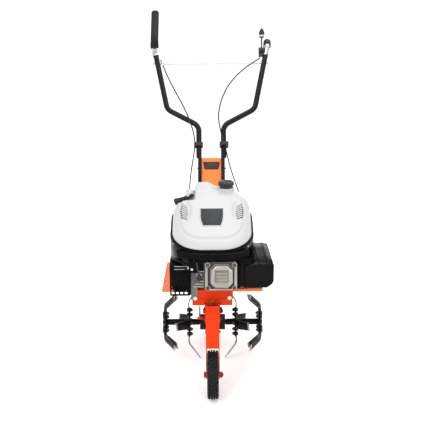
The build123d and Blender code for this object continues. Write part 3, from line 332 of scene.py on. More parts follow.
class Build:
    """Collects solids into one mesh, in millimetres in the frame, with y from the tine axle."""

    def __init__(self):
        self.bm = bmesh.new()
        self.to_world = Matrix.Translation((0, TINE_Y, 0)) @ Matrix.Scale(MM, 4)

    def add(self, part):
        scratch = bpy.data.meshes.new("scratch")
        part.to_mesh(scratch)
        part.free()
        self.bm.from_mesh(scratch)
        bpy.data.meshes.remove(scratch)

    def take(self, part, bevel=0.0, segments=2, material=0, angle=30.0):
        bmesh.ops.recalc_face_normals(part, faces=part.faces)
        if bevel:
            limit = math.radians(angle)
            sharp = [e for e in part.edges if len(e.link_faces) == 2 and e.calc_face_angle(0) > limit]
            bmesh.ops.bevel(
                part, geom=sharp, offset=bevel, segments=segments, profile=0.5, affect="EDGES",
                clamp_overlap=True,
            )
        for face in part.faces:
            face.smooth = True
            face.material_index = material
        self.add(part)

    def box(self, low, high, **kw):
        part = bmesh.new()
        bmesh.ops.create_cube(part, size=1.0)
        low, high = Vector(low), Vector(high)
        part.transform(Matrix.Translation((low + high) / 2) @ Matrix.Diagonal((*(high - low), 1)))
        self.take(part, **kw)

    def prism(self, outline, origin, u, v, depth, top=1.0, **kw):
        """Outline of (u, v) points, pushed depth along u x v; top scales the far end."""
        part = bmesh.new()
        origin, u, v = Vector(origin), Vector(u).normalized(), Vector(v).normalized()
        n = u.cross(v)
        near = [part.verts.new(origin + u * a + v * b) for a, b in outline]
        far = [part.verts.new(origin + n * depth + (u * a + v * b) * top) for a, b in outline]
        part.faces.new(near)
        part.faces.new(far)
        for k in range(len(near)):
            j = (k + 1) % len(near)
            part.faces.new((near[k], near[j], far[j], far[k]))
        self.take(part, **kw)

    def panel(self, outline, y, depth, **kw):
        """Outline of (x, z) points at y, pushed depth towards the front."""
        self.prism(outline, (0, y, 0), RIGHT, UP, depth, **kw)

    def lathe(self, profile, origin, axis, steps=48, close=False, **kw):
        """Profile of (distance along the axis, radius) points, turned about the axis."""
        part = bmesh.new()
        origin, axis = Vector(origin), Vector(axis).normalized()
        side = axis.orthogonal().normalized()
        other = axis.cross(side)
        rings = []
        for along, radius in profile:
            ring = []
            for k in range(steps):
                a = 2 * math.pi * k / steps
                ring.append(
                    part.verts.new(
                        origin + axis * along + (side * math.cos(a) + other * math.sin(a)) * radius
                    )
                )
            rings.append(ring)
        join_rings(part, rings + rings[:1] if close else rings, ends=not close)
        self.take(part, **kw)

    def sweep(self, points, section, up=UP, scales=None, **kw):
        """Section of (side, up) points, carried along the points."""
        part = bmesh.new()
        points = [Vector(p) for p in points]
        rings = []
        up = Vector(up)
        for k, point in enumerate(points):
            ahead = points[min(k + 1, len(points) - 1)] - points[max(k - 1, 0)]
            ahead.normalize()
            side = ahead.cross(up).normalized()
            over = side.cross(ahead).normalized()
            s = scales[k] if scales else 1.0
            rings.append([part.verts.new(point + (side * a + over * b) * s) for a, b in section])
        join_rings(part, rings)
        self.take(part, **kw)

    def tube(self, points, radius, steps=12, **kw):
        direction = (Vector(points[-1]) - Vector(points[0])).normalized()
        up = UP if abs(direction.z) < 0.9 else BACK
        self.sweep(points, circle(radius, steps), up=kw.pop("up", up), **kw)

    def bolt(self, origin, axis, radius, height, washer=0.0, **kw):
        """Hex head on a washer, pointing along the axis."""
        origin, axis = Vector(origin), Vector(axis).normalized()
        if washer:
            self.lathe(
                [(0, radius * 0.6), (0, washer), (1.2, washer), (1.2, radius * 0.6)], origin, axis, 32,
                close=True, bevel=0.25, **kw,
            )
            origin = origin + axis * 1.2
        side = axis.orthogonal().normalized()
        self.prism(circle(radius, 6), origin, side, axis.cross(side), height, bevel=radius * 0.09, **kw)
        self.lathe(
            [
                (height - 0.1, radius * 0.2), (height - 0.1, radius * 0.72), (height + 0.35, radius * 0.62),
                (height + 0.35, radius * 0.2),
            ],
            origin, axis, 24, close=True, **kw,
        )

    def done(self, name, finishes, body="chassis", slot=None, replaces=(), sharp=38.0):
        """Makes the piece on its body from its finishes; slot is not used."""
        if not isinstance(finishes, list):
            finishes = [finishes]
        mesh = bpy.data.meshes.new(name)
        bmesh.ops.remove_doubles(self.bm, verts=self.bm.verts, dist=1e-5)
        self.bm.transform(self.to_world)
        self.bm.to_mesh(mesh)
        self.bm.free()
        obj = bpy.data.objects.new(name, mesh)
        bpy.context.scene.collection.objects.link(obj)
        for finish in finishes:
            mesh.materials.append(FINISH[finish] if isinstance(finish, str) else finish)
        mesh.shade_smooth()
        mesh.set_sharp_from_angle(angle=math.radians(sharp))
        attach(obj, body)
        if replaces:
            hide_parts(*replaces)
        return obj


def rounded(width, height, radius, steps=6, centre=(0.0, 0.0)):
    """Rounded rectangle as (u, v) points."""
    points = []
    for cx, cy, start in ((1, 1, 0), (-1, 1, 90), (-1, -1, 180), (1, -1, 270)):
        for k in range(steps + 1):
            a = math.radians(start + 90 * k / steps)
            points.append(
                (
                    centre[0] + cx * (width / 2 - radius) + radius * math.cos(a),
                    centre[1] + cy * (height / 2 - radius) + radius * math.sin(a),
                )
            )
    return points


def smooth_path(corners, radius, steps=8):
    """Straight runs with round corners."""
    corners = [Vector(c) for c in corners]
    out = [corners[0]]
    for before, corner, after in zip(corners, corners[1:], corners[2:]):
        a, b = (before - corner).normalized(), (after - corner).normalized()
        turn = a.angle(b)
        cut = min(
            radius / math.tan(turn / 2), (before - corner).length * 0.48, (after - corner).length * 0.48
        )
        start, end = corner + a * cut, corner + b * cut
        for k in range(steps + 1):
            t = k / steps
            out.append(start * (1 - t) ** 2 + corner * 2 * t * (1 - t) + end * t**2)
    out.append(corners[-1])
    return out


# ---- engine cover and shroud
HALF, FRONT, REAR, ROUND = 141.0, -190.0, 136.0, 110.0
MID_Y = (FRONT + REAR) / 2
TOP_LINE = [
    (-200, 470), (-194, 478), (-186, 489), (-170, 498), (-150, 507), (-100, 529), (-20, 562), (40, 587),
    (90, 606), (112, 607), (128, 598), (142, 578),
]


def smoothstep(a, b, x):
    """From 0 at a to 1 at b, level at both."""
    t = min(1.0, max(0.0, (x - a) / (b - a)))
    return t * t * (3 - 2 * t)


def along(line, x):
    """Height of a line of (x, height) points."""
    for (x0, y0), (x1, y1) in zip(line, line[1:]):
        if x <= x1:
            return y0 + (y1 - y0) * max(0.0, (x - x0) / (x1 - x0))
    return line[-1][1]


def seam(y):
    """Height of the seam between cover and shroud, which rises to the back."""
    return 464.0 + (y + 240.0) * 89.0 / 440.0


def rim_point(turn, inset=0.0):
    """Point on the shroud's plan, a rounded rectangle set in by inset, at turn from 0 to 1."""
    half_x, half_y = HALF - inset, (REAR - FRONT) / 2 - inset
    corner = max(ROUND - inset, 1.0)
    straight_x, straight_y = 2 * (half_x - corner), 2 * (half_y - corner)
    arc = math.pi * corner / 2
    runs = [straight_y / 2, arc, straight_x, arc, straight_y, arc, straight_x, arc, straight_y / 2]
    s = (turn % 1.0) * sum(runs)
    centres = [
        (half_x - corner, half_y - corner), (-half_x + corner, half_y - corner),
        (-half_x + corner, -half_y + corner), (half_x - corner, -half_y + corner),
    ]
    for k, run in enumerate(runs):
        if s > run and k < len(runs) - 1:
            s -= run
            continue
        if k % 2:
            cx, cy = centres[k // 2]
            a = math.radians(90 * (k // 2)) + s / corner
            return cx + corner * math.cos(a), MID_Y + cy + corner * math.sin(a)
        side = k // 2
        if side == 0:
            return half_x, MID_Y + s
        if side == 1:
            return half_x - corner - s, MID_Y + half_y
        if side == 2:
            return -half_x, MID_Y + half_y - corner - s
        if side == 3:
            return -half_x + corner + s, MID_Y - half_y
        return half_x, MID_Y - half_y + corner + s


def cover_top(x, y, inset):
    """Height of the cover's top: a crowned slope, a plateau, two vent dishes and a cut corner."""
    z = along(TOP_LINE, y) - 10.0 * (x / HALF) ** 2
    z -= 6.0 * smoothstep(0, 40, x) * smoothstep(40, 92, y)
    z += 14.0 * smoothstep(60, 108, y) * (smoothstep(-74, -52, x) - smoothstep(-16, 14, x))
    z += 4.5 * smoothstep(31, 36, inset)
    for side in (-1, 1):
        away = math.hypot((x - side * 95) / 23, (y + 30) / 52)
        z -= 4.0 * (1 - smoothstep(0.75, 1.05, away))
    cut = (1 - smoothstep(-76, -58, x)) * smoothstep(22, 40, y)
    z = z * (1 - cut) + min(z, 550.0) * cut
    return z


SHOULDER = 30.0
DEEPEST_RIM = 109.0  # largest inset that rim_point can take
NARROW = 0.945  # the cover stands inside the shroud's rim along its sides


def cover_point(x, y, inset):
    """Height of the cover at a point, with the round shoulder by its rim."""
    floor = seam(y) + 2.0
    drop = 0.0
    if inset < SHOULDER:
        q = 1 - inset / SHOULDER
        drop = 1 - math.sqrt(max(0.0, 1 - q * q))
    high = cover_top(x, y, inset)
    fall = min(high - floor, 26.0 + 14.0 * smoothstep(-150, 80, y))
    return high - fall * drop


def cover_shell():
    """The white cover: a turned-in lower edge, then rings that close in towards the middle."""
    steps, rings = 192, 46
    shape = Build()
    part = bmesh.new()
    loops = []
    for lower, inset in ((0.4, 3.6), (0.4, 1.4), (1.2, 0.5), (2.4, 0.3)):
        loop = []
        for k in range(steps):
            x, y = rim_point(k / steps, inset)
            loop.append(part.verts.new((x * NARROW, y, seam(y) + lower)))
        loops.append(loop)
    deepest = HALF - 1.0
    for j in range(rings):
        inset = 0.3 + deepest * (j / rings) ** 1.25
        loop = []
        for k in range(steps):
            x, y = rim_point(k / steps, min(inset, DEEPEST_RIM))
            if inset > DEEPEST_RIM:
                s = (HALF - inset) / (HALF - DEEPEST_RIM)
                x, y = x * s, MID_Y + (y - MID_Y) * s
            loop.append(part.verts.new((x * NARROW, y, cover_point(x, y, inset))))
        loops.append(loop)
    join_rings(part, loops, ends=False)
    part.faces.new(loops[-1])
    inner = [part.verts.new((v.co.x * 0.975, MID_Y + (v.co.y - MID_Y) * 0.975, v.co.z)) for v in loops[0]]
    join_rings(part, [inner, loops[0]], ends=False)
    shape.take(part)
    return shape


shape = cover_shell()
shape.done("cover_shell", "cover_plastic", replaces=["engine_cover"], sharp=60)


def slope_at(x, y):
    """Point on the cover, and the two directions that lie in its surface there."""
    step = 3.0
    inset = HALF - abs(x)
    dx = (cover_point(x + step, y, inset) - cover_point(x - step, y, inset)) / (2 * step)
    dy = (cover_point(x, y + step, inset) - cover_point(x, y - step, inset)) / (2 * step)
    u = Vector((1, 0, dx)).normalized()
    v = Vector((0, 1, dy)).normalized()
    return Vector((x, y, cover_point(x, y, inset))), u, v


def dish_bars(name, finish, count, longest, shorter, width, radius, sunk, height, **kw):
    """Slanting bars across the two vent dishes, shorter towards the dishes' ends."""
    shape = Build()
    middle = (count - 1) / 2
    for side in (-1, 1):
        turn = math.radians(side * 38)
        for k in range(count):
            origin, u, v = slope_at(side * 94, -28.5 + 9.0 * (k - middle))
            n = u.cross(v)
            across = u * math.cos(turn) + v * math.sin(turn)
            outline = rounded(longest - shorter * abs(k - middle) / middle, width, radius)
            shape.prism(outline, origin - n * sunk, across, n.cross(across), height, **kw)
    shape.done(name, finish)


dish_bars("cover_vents", "black_plastic", 8, 34, 10, 2.0, 0.9, 3.0, 3.3, bevel=0.2)
dish_bars("cover_louvres", "cover_plastic", 7, 30, 8, 5.4, 2.0, 2.0, 3.6, bevel=0.9, top=0.92)

# name plate, blank, in its shallow frame
shape = Build()
origin, u, v = slope_at(0, -66)
n = u.cross(v)
plate = [(-38, 43), (38, 43), (37.5, 0), (35, -20), (29, -43), (-29, -43), (-35, -20), (-37.5, 0)]
shape.prism([(a * 1.07, b * 1.06) for a, b in plate], origin - n * 5, u, v, 6.2, bevel=1.0, segments=3)
shape.prism(plate, origin - n * 2, u, v, 4.4, bevel=0.9, segments=3, material=1)
shape.prism([(a * 0.86, b * 0.86) for a, b in plate], origin, u, v, 2.9, bevel=0.4, material=1)
shape.done("cover_badge", ["cover_plastic", "grey_plastic"], slot="grey_plastic")

# rope guide boss behind the recoil handle, and the cap's collar
shape = Build()
shape.lathe(
    [(-26, 15), (-26, 17.5), (4, 16.2), (7, 14.8), (8, 12), (8, 6), (5, 4.5), (-4, 4.5), (-8, 3.8)],
    (-76, 84, 590), (0.12, 0.72, 0.68), 40, close=True, bevel=0.8,
)
shape.lathe(
    [(-16, 24), (-16, 31), (-1, 30), (1.5, 28.5), (2, 26.5), (2, 24)], (51, 92, 604), UP, 56, close=True,
    bevel=0.7,
)
shape.done("cover_bosses", "cover_plastic")


def shroud_shell():
    """The black band under the cover, with a groove round it and a notch over the cylinder head."""
    steps = 192
    shape = Build()
    part = bmesh.new()

    def low_edge(x, y, z):
        notch = smoothstep(-76, -66, x) * (1 - smoothstep(84, 94, x)) * (1 - smoothstep(-176, -160, y))
        return max(z, 447.0 * notch + z * (1 - notch)) if notch > 0 else z

    rows = [
        (0, 3.2, 3.0), (0, 0.6, 0.9), (0, 0.0, 3.2), (0, 0.0, 8.0), (0, 1.8, 10.0), (0, 1.8, 13.0),
        (0, 0.0, 15.5), (1, 0.0, -8.0), (1, 0.0, -3.0), (1, 0.9, -0.8), (1, 12.0, -0.8), (1, 12.0, -3.0),
    ]
    loops = []
    for upper, inset, lift in rows:
        loop = []
        for k in range(steps):
            x, y = rim_point(k / steps, inset)
            z = seam(y) - 0.2 + lift if upper else low_edge(x, y, 415.0 + lift)
            if not upper and z > seam(y) - 12:
                z = seam(y) - 12
            loop.append(part.verts.new((x, y, z)))
        loops.append(loop)
    inner_low = []
    for k in range(steps):
        x, y = rim_point(k / steps, 4.0)
        inner_low.append(part.verts.new((x, y, low_edge(x, y, 418.0))))
    loops.append(inner_low)
    join_rings(part, loops + loops[:1], ends=False)
    shape.take(part)
    return shape


shape = shroud_shell()
shape.done("shroud_band", "black_plastic", replaces=["blower_shroud"], sharp=50)

# screws that hold cover and shroud, on bosses round the band
shape = Build()
for turn in (0.03, 0.22, 0.47, 0.60, 0.88):
    x, y = rim_point(turn)
    inner = rim_point(turn, 10)
    out = Vector((x - inner[0], y - inner[1], 0)).normalized()
    z = seam(y) - 11
    shape.lathe(
        [(-3, 1), (-3, 6.5), (0.4, 6.5), (1.0, 5.8), (1.0, 1)], (x - out.x, y - out.y, z), out, 28,
        close=True, bevel=0.3,
    )
    shape.bolt((x - out.x * 1.2, y - out.y * 1.2, z), out, 3.6, 1.4, material=1)
shape.done("shroud_screws", ["black_plastic", "steel"], slot="steel")

# ---- recoil starter handle and its rope
shape = Build()
wide, tip = Vector((-130, 60, 561)), Vector((-65, 60, 588))
run = (tip - wide).normalized()
length = (tip - wide).length
profile = [
    (0, 2), (0, 9.5), (1.2, 12.0), (4, 13.0), (9, 12.6), (16, 10.6), (26, 8.6), (38, 7.2),
    (length - 5, 6.4), (length - 2, 6.6), (length, 5.6), (length, 2.2), (length - 6, 2.0),
]
shape.lathe(profile, wide, run, 40, close=False)
for k in range(5):
    start = 19 + 6 * k
    radius = 10.4 - 0.62 * k
    shape.lathe(
        [
            (start, radius - 1.4), (start + 0.6, radius + 0.1), (start + 2.2, radius - 0.1),
            (start + 3.0, radius - 1.6),
        ],
        wide, run, 40, close=True,
    )
shape.done("recoil_handle", "grey_plastic", body="starter_handle", replaces=["starter_handle"], sharp=45)

shape = Build()
mouth = Vector((-72, 88, 594))
rope_from = tip - run * 3
bow = [mouth - Vector((0, 6, 6)), mouth, rope_from * 0.5 + mouth * 0.5 + Vector((1.5, 2, 1.5)), rope_from]
points = [bow[0].lerp(bow[1], t / 3) for t in range(3)] + [
    bow[1].lerp(bow[3], t / 10) + Vector((2.2, 1.5, 1.2)) * math.sin(math.pi * t / 10) for t in range(11)
]
twist = []
for k in range(16):
    a = 2 * math.pi * k / 16
    r = 1.55 + 0.18 * math.cos(a * 4)
    twist.append((r * math.cos(a), r * math.sin(a)))
shape.sweep(points, twist)
rope = shape.done("starter_rope", "cable_sheath")
world = rope.matrix_world.copy()
rope.parent = None
rope.matrix_world = world
del rope["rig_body"]
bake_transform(rope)

# ---- fuel cap and oil cap
CAP = (51, 92, 0)
OIL_CAP = (90, 24, 0)


def fluted_cap(shape, centre, rows, lobes, steps, power):
    """Turned cap with lobes round its side; a row is its height, its radius and the lobes' depth."""
    part = bmesh.new()
    rings = []
    for z, radius, depth in rows:
        ring = []
        for k in range(steps):
            a = 2 * math.pi * k / steps
            r = radius - depth * (0.5 + 0.5 * math.cos(a * lobes)) ** power
            ring.append(part.verts.new((centre[0] + r * math.cos(a), centre[1] + r * math.sin(a), z)))
        rings.append(ring)
    join_rings(part, rings)
    shape.take(part)


shape = Build()
outside = [(613.6, 20, 0), (613.6, 26.6, 0.5), (614.8, 28.0, 1.1), (622.0, 28.0, 1.3), (625.4, 26.8, 0.9)]
dished_top = [(627.2, 24.0, 0.2), (627.8, 20.0, 0), (627.0, 17.5, 0), (626.2, 16.0, 0), (626.2, 4, 0)]
fluted_cap(shape, CAP, outside + dished_top, 20, 160, 2)
shape.prism(
    rounded(40, 9, 4.4), (CAP[0], CAP[1], 620), (1, 0.5, 0), (-0.5, 1, 0), 8.3, top=0.92, bevel=1.2,
    segments=3,
)
shape.lathe([(598, 10), (598, 17.6), (613.8, 17.6), (613.8, 10)], CAP, UP, 40, close=True, bevel=0.4)
shape.done("tank_cap", "grey_plastic", body="fuel_cap", replaces=["fuel_cap"], sharp=35)

shape = Build()
rows = [
    (380.1, 13, 0), (380.1, 15.6, 0.3), (381.0, 16.8, 1.2), (388.0, 16.6, 1.4), (390.6, 14.5, 0.8),
    (391.2, 11, 0),
]
fluted_cap(shape, OIL_CAP, rows, 10, 100, 1)
shape.prism(
    rounded(22, 5, 2.4), (OIL_CAP[0], OIL_CAP[1], 389), (1, 0.3, 0), (-0.3, 1, 0), 2.9, top=0.9, bevel=0.6
)
shape.done("oil_cap", "grey_plastic", body="oil_filler_cap", replaces=["oil_filler_cap"], sharp=35)

# ---- air filter box
def filter_section(y, inset=0.0):
    """Outline in (x, z) at y: chamfered low corner, rounded shoulder and two ribs on the rising top."""
    rise = (y + 170.0) / 150.0
    right = 204.8 - 13.0 * rise - inset
    low = 332.2 + inset
    high = 419.0 + 22.0 * rise - inset
    left_top = 417.0 + 22.0 * rise - inset
    r = 7.0
    points = [(108.2 + inset, low), (right - 22, low), (right - 5, low + 13), (right, low + 24)]
    points += [(right, high - r - 3)]
    for k in range(1, 6):
        a = math.radians(90 * k / 6)
        points.append((right - r + r * math.cos(a), high - r - 3 + r * math.sin(a)))
    points += [
        (right - r - 3, high - 2.5), (right - 16, high - 2.0), (right - 17.5, high + 0.2),
        (right - 22, high + 0.2), (right - 23.5, high - 2.2),
    ]
    points += [
        (right - 44, high - 2.4), (right - 45.5, high - 0.2), (right - 50, high - 0.2),
        (right - 51.5, high - 2.6),
    ]
    points += [(125.0, left_top - 2.6), (112.0, left_top - 3.4), (108.2 + inset, left_top - 6.5)]
    return points


shape = Build()
part = bmesh.new()
rings = []
for y, inset in (
    (-168.6, 5.0), (-169.6, 2.4), (-169.0, 0.9), (-167.0, 0.0), (-120, 0.0), (-119.6, 0.7), (-117.4, 0.7),
    (-117.0, 0.0), (-60, 0.0), (-24, 0.0), (-21, 1.2), (-20.2, 3.5),
):
    rings.append([part.verts.new((x, y, z)) for x, z in filter_section(y, inset)])
join_rings(part, rings)
shape.take(part)
for z in (350, 401):
    shape.box((203.4, -116, z - 2), (205.0, -88, z + 2), bevel=0.5)
shape.done("filter_box_cover", "black_plastic", replaces=["air_filter_cover"], sharp=32)

shape = Build()
shape.prism(rounded(148, 85.6, 6, centre=(-95, 375)), (87.2, 0, 0), BACK, UP, 3.0, bevel=0.8)
shape.prism(rounded(145, 82, 6, centre=(-95, 375)), (90, 0, 0), BACK, UP, 14.0, bevel=0.8)
shape.prism(rounded(149.6, 85.8, 7, centre=(-95, 375)), (103.4, 0, 0), BACK, UP, 4.5, bevel=1.4)
for y in (-150, -120, -90, -60, -35):
    shape.box((90, y - 1.5, 332.2), (103, y + 1.5, 336), bevel=0.5)
shape.done("filter_box_base", "black_plastic", replaces=["air_filter_base"], sharp=35)

# ---- cylinder head, valve cover and plug
HEAD = -212.0
# Dark casting colour: painted shade in the head's deep parts, on its back block, fins, recess plate and top
# bar
SHADED_CASTING = finish_of(
    "casting_painted_shade", (0.07, 0.068, 0.065), 0.6, metallic=0.4, vary=0.25, bumps=((600.0, 0.4, 0.0002),)
)
shape = Build()
shape.box((-54, HEAD + 3, 354), (72, HEAD + 25.6, 438), bevel=1.0, material=1)
for k in range(5):
    y = HEAD + 2.0 + 4.9 * k
    shape.panel(rounded(136, 88, 8, centre=(8, 395)), y + 2.0, 2.0, bevel=0.5, material=1)
for z, wide in ((357, 34), (366, 30), (376, 22), (410, 18)):
    shape.panel(rounded(wide, 4.2, 1.8, centre=(-27 - wide / 2, z)), HEAD + 2, 3.4, bevel=0.5)
left, right, low, high = -24.0, 81.0, 346.0, 444.0
shape.panel(
    rounded(right - left - 8, high - low - 8, 8, centre=((left + right) / 2, 395)), HEAD + 1, 3.0,
    bevel=0.8, material=1,
)
for x in (left + 4.8, right - 4.8):
    shape.box((x - 4.6, HEAD - 9.6, low + 14), (x + 4.6, HEAD + 1, high - 14), bevel=1.3)
shape.box((left + 14, HEAD - 8.6, low + 0.3), (right - 14, HEAD + 1, low + 6), bevel=1.3)
shape.box((left + 14, HEAD - 3.6, high - 7), (right - 14, HEAD + 1, high - 1.2), bevel=1.2, material=1)
towers = [(x, z) for x in (left + 9, right - 9) for z in (low + 9, high - 9)]
for x, z in towers:
    shape.lathe(
        [(-1, 1), (-1, 8.9), (8.6, 8.8), (9.9, 7.8), (9.9, 5.6), (6.6, 5.2), (6.6, 1)], (x, HEAD, z),
        FORWARD, 36,
    )
shape.done("head_casting", ["engine_aluminium", SHADED_CASTING], replaces=["cylinder_head"], sharp=32)

# The head screws take the dark bolt finish as painted shade for the dark recesses round them
shape = Build()
for x, z in towers:
    shape.lathe(
        [(5.6, 1.2), (5.6, 4.9), (9.4, 4.9), (10.0, 4.3), (10.0, 2.6), (7.8, 2.3), (7.8, 1.2)],
        (x, HEAD, z), FORWARD, 24, close=True,
    )
shape.done("head_screws", DARK_BOLTS, slot="steel")

shape = Build()
cx, cz = 30.5, 396.5


def octagon(width, height, cut, lift=0.0):
    """Rectangle with cut corners round the valve cover's middle."""
    w, h = width / 2, height / 2
    corners = [
        (w - cut, -h), (w, -h + cut), (w, h - cut), (w - cut, h), (-w + cut, h), (-w, h - cut),
        (-w, -h + cut), (-w + cut, -h),
    ]
    return [(cx + a, cz + b + lift) for a, b in corners]


shape.panel(octagon(74, 81, 16.5), HEAD - 2.0, 3.0, bevel=0.8)
shape.panel(octagon(70, 77, 16), HEAD - 4.6, 1.8, bevel=0.5)
part = bmesh.new()
rings = []
steps_in = (
    (-6, 71.6, 78.6, 16, 0), (-17.0, 71.0, 78.0, 15.8, 0), (-20.2, 68.6, 75.0, 15, 0.4),
    (-23.4, 60, 64, 14, 2.4), (-23.6, 57, 58, 12.5, 4.0), (-22.4, 55.4, 56, 12.2, 4.0),
    (-22.2, 8, 8, 2, 4.0),
)
for depth, width, height, cut, lift in steps_in:
    rings.append([part.verts.new((x, HEAD + depth, z)) for x, z in octagon(width, height, cut, lift)])
join_rings(part, rings)
shape.take(part, bevel=0.8, angle=20)
shape.panel(rounded(46, 44, 4, centre=(cx, cz + 4)), HEAD - 21.8, 1.4, bevel=0.6, segments=3, material=1)
for z in (cz + 15, cz + 4, cz - 7):
    shape.panel(rounded(35, 3.0, 1.3, centre=(cx, z)), HEAD - 22.9, 1.0, bevel=0.4)
PANEL_CAST = finish_of(
    "panel_cast", (0.19, 0.18, 0.155), 0.5, metallic=0.8, vary=0.2, vary_scale=30.0,
    bumps=((500.0, 0.5, 0.0002),),
)
shape.done("rocker_cover", ["engine_aluminium", PANEL_CAST], replaces=["valve_cover"], sharp=25)

# black sheet-metal pieces under the shroud, either side of the rocker cover: partly an air guide, partly
# painted shade for the dark under the band and beside the head
shape = Build()
shape.panel([(-66, 405), (-28, 405), (-28, 446), (-76, 446), (-76, 412)], HEAD + 1.4, 2.4, bevel=0.5)
shape.panel([(83, 446), (83, 426), (94, 420), (128, 430), (128, 446)], HEAD + 24, 3.0, bevel=0.5)
front = []
for k in range(25):
    x = -118 + 240 * k / 24
    front.append((x, -216 + 46 * abs((x - 2) / 120) ** 3.0))
front += [(122, -160), (-118, -160)]
shape.prism(front, (0, 0, 444.4), RIGHT, BACK, 24.0, bevel=7.0, segments=6)
shape.box((-78, -133, 292), (-60, -130.6, 400), bevel=0.4)
shape.box((-76, -172, 398), (-62, -169, 446), bevel=0.4)
shape.box((76, -182, 336), (92, -178, 446), bevel=0.6)
shape.box((-76.5, HEAD - 1.0, 404), (-74.5, HEAD + 40, 446), bevel=0.6)
shape.bolt((-66, HEAD - 1.0, 418), FORWARD, 3.4, 1.8, washer=4.4, material=1)
shape.done("air_guide_and_shade_sheets", ["exhaust_black", "steel"])

shape = Build()
plug = Vector((-43, HEAD, 396))
shape.lathe([(-17, 1), (-17, 6.9), (0, 6.9), (0, 1)], plug, FORWARD, 28, close=True)
shape.bolt(plug, FORWARD, 9.3, 6.0, washer=9.4)
shape.lathe([(6, 1), (6, 6.6), (8, 5.6), (14, 5.2), (15, 1)], plug, FORWARD, 28, material=1)
boot = [
    (11, 1), (11, 8.0), (12, 8.4), (15, 8.4), (16, 7.6), (24, 7.3), (25, 8.3), (27, 8.3), (28, 7.4),
    (35, 7.6), (38.2, 6.2), (38.8, 3), (38.8, 1),
]
shape.lathe(boot, plug, FORWARD, 32, material=2)
lead = smooth_path(
    [
        (-43, HEAD - 31, 398), (-43.5, HEAD - 31, 412), (-47, HEAD - 24, 430), (-50, HEAD - 8, 440),
        (-52, HEAD + 12, 442),
    ],
    12,
)
shape.tube([Vector(p) for p in lead], 2.7, steps=14, up=RIGHT, material=2)
shape.lathe(
    [(0, 1), (0, 5.6), (9, 4.4), (12, 3.6), (12, 1)], (-43, HEAD - 31, 402), (0, 0.02, 1), 24, material=2
)
shape.done(
    "plug_and_boot", ["steel", "cover_plastic", "grey_plastic"], replaces=["spark_plug"],
    slot="black_plastic",
)

# ---- muffler guard's bright lips, screw and ribs
shape = Build()
shape.box((-126, -168.2, 399.2), (-90, -165.9, 400.9), bevel=0.5)
shape.box((-126, -168.2, 409.4), (-74, -165.9, 411.1), bevel=0.5)
shape.box((-84, -168.2, 400.6), (-72, -165.9, 402.4), bevel=0.5)
shape.bolt((-77, -166, 405), FORWARD, 3.8, 2.2, washer=5.2)
shape.bolt((-134, -166, 318), FORWARD, 2.4, 1.4, washer=3.4)
shape.done("guard_trim", "steel")
shape = Build()
for x in (-124, -112, -100, -88):
    shape.panel(rounded(3.4, 62, 1.6, centre=(x, 362)), -165.6, 1.5, bevel=0.7)
shape.done("guard_ribs", "exhaust_black")

# ---- front wheel
WHEEL = Vector((0, -297, 80))
AXIS = Vector(RIGHT)


def tyre():
    """Tyre with two rows of shoulder knobs, two of middle knobs and small side bars."""
    shape = Build()
    body = [
        (-9, 50.4), (-14, 51.5), (-17.2, 55), (-18.6, 61), (-18.2, 66), (-16.2, 70), (-12.6, 72.6),
        (-8, 74.0), (0, 74.4),
    ]
    profile = body + [(-a, r) for a, r in reversed(body[:-1])]
    shape.lathe(profile, WHEEL, AXIS, 96, close=True)
    for side in (-1, 1):
        shape.lathe(
            [(side * 18.2, 62), (side * 18.9, 62.6), (side * 18.9, 63.8), (side * 18.2, 64.4)], WHEEL, AXIS,
            96, close=True,
        )
    count = 30
    rows = (
        (-12.6, 7.4, 6.4, 24, 0.0), (12.6, 7.4, 6.4, -24, 0.5), (-4.4, 6.2, 5.6, -30, 0.5),
        (4.4, 6.2, 5.6, 30, 0.0),
    )
    for k in range(count):
        for row, (x, wide, long, skew, phase) in enumerate(rows):
            a = 2 * math.pi * (k + phase) / count
            out = Vector((0, math.cos(a), math.sin(a)))
            ahead = Vector((0, -math.sin(a), math.cos(a)))
            base = 71.0 if row < 2 else 73.4
            height = (78.4 if row < 2 else 79.6) - base
            turn = math.radians(skew)
            u = AXIS * math.cos(turn) + ahead * math.sin(turn)
            if row < 2:
                tilt = math.radians(14 if x > 0 else -14)
                lean = (out * math.cos(tilt) + AXIS * math.sin(tilt)).normalized()
                v = lean.cross(u).normalized()
                u = v.cross(lean).normalized()
            else:
                v = out.cross(u)
            centre = WHEEL + AXIS * x + out * base
            shape.prism(rounded(wide, long, 1.0, steps=2), centre, u, v, height, top=0.86)
        if k % 2 == 0:
            for side in (-1, 1):
                a = 2 * math.pi * (k + 0.25) / count
                out = Vector((0, math.cos(a), math.sin(a)))
                ahead = Vector((0, -math.sin(a), math.cos(a)))
                centre = WHEEL + AXIS * side * 17.0 + out * 69.5
                shape.prism(rounded(6.5, 5.0, 1.0, steps=2), centre, out, ahead * side, 1.8, top=0.8)
    return shape


tyre().done("tyre_knobbly", "tyre_rubber", body="front_wheel", replaces=["front_tyre"], sharp=32)

shape = Build()
half = [
    (-18.6, 6.5), (-18.6, 12.5), (-17.6, 14.5), (-12, 16.5), (-5, 18.5), (-3.4, 22), (-3.0, 38), (-4.6, 42),
    (-12, 43.5), (-14.6, 45), (-15.6, 48.6), (-15.0, 50.0), (-9, 50.2), (-8, 47.8),
]
shape.lathe(half + [(-a, r) for a, r in reversed(half)], WHEEL, AXIS, 96, close=True)
for k in range(6):
    a = 2 * math.pi * k / 6
    out = Vector((0, math.cos(a), math.sin(a)))
    ahead = Vector((0, -math.sin(a), math.cos(a)))
    for side in (-1, 1):
        shape.prism(
            [(15, -3.2), (44, -2.4), (44, 2.4), (15, 3.2)], WHEEL + AXIS * side * 2.0, out, ahead * side,
            9.0, top=0.97, bevel=0.9,
        )
shape.done("wheel_hub_and_rim", "rim_plastic", body="front_wheel", replaces=["wheel_rim"], sharp=32)

# ---- rotor blades
AXLE = Vector((0, 0, 130))
EDGE = finish_of(
    "worn_edge", (0.34, 0.335, 0.32), 0.4, metallic=1.0, vary=0.25, vary_scale=30.0,
    bumps=((700.0, 0.4, 0.0001),),
)


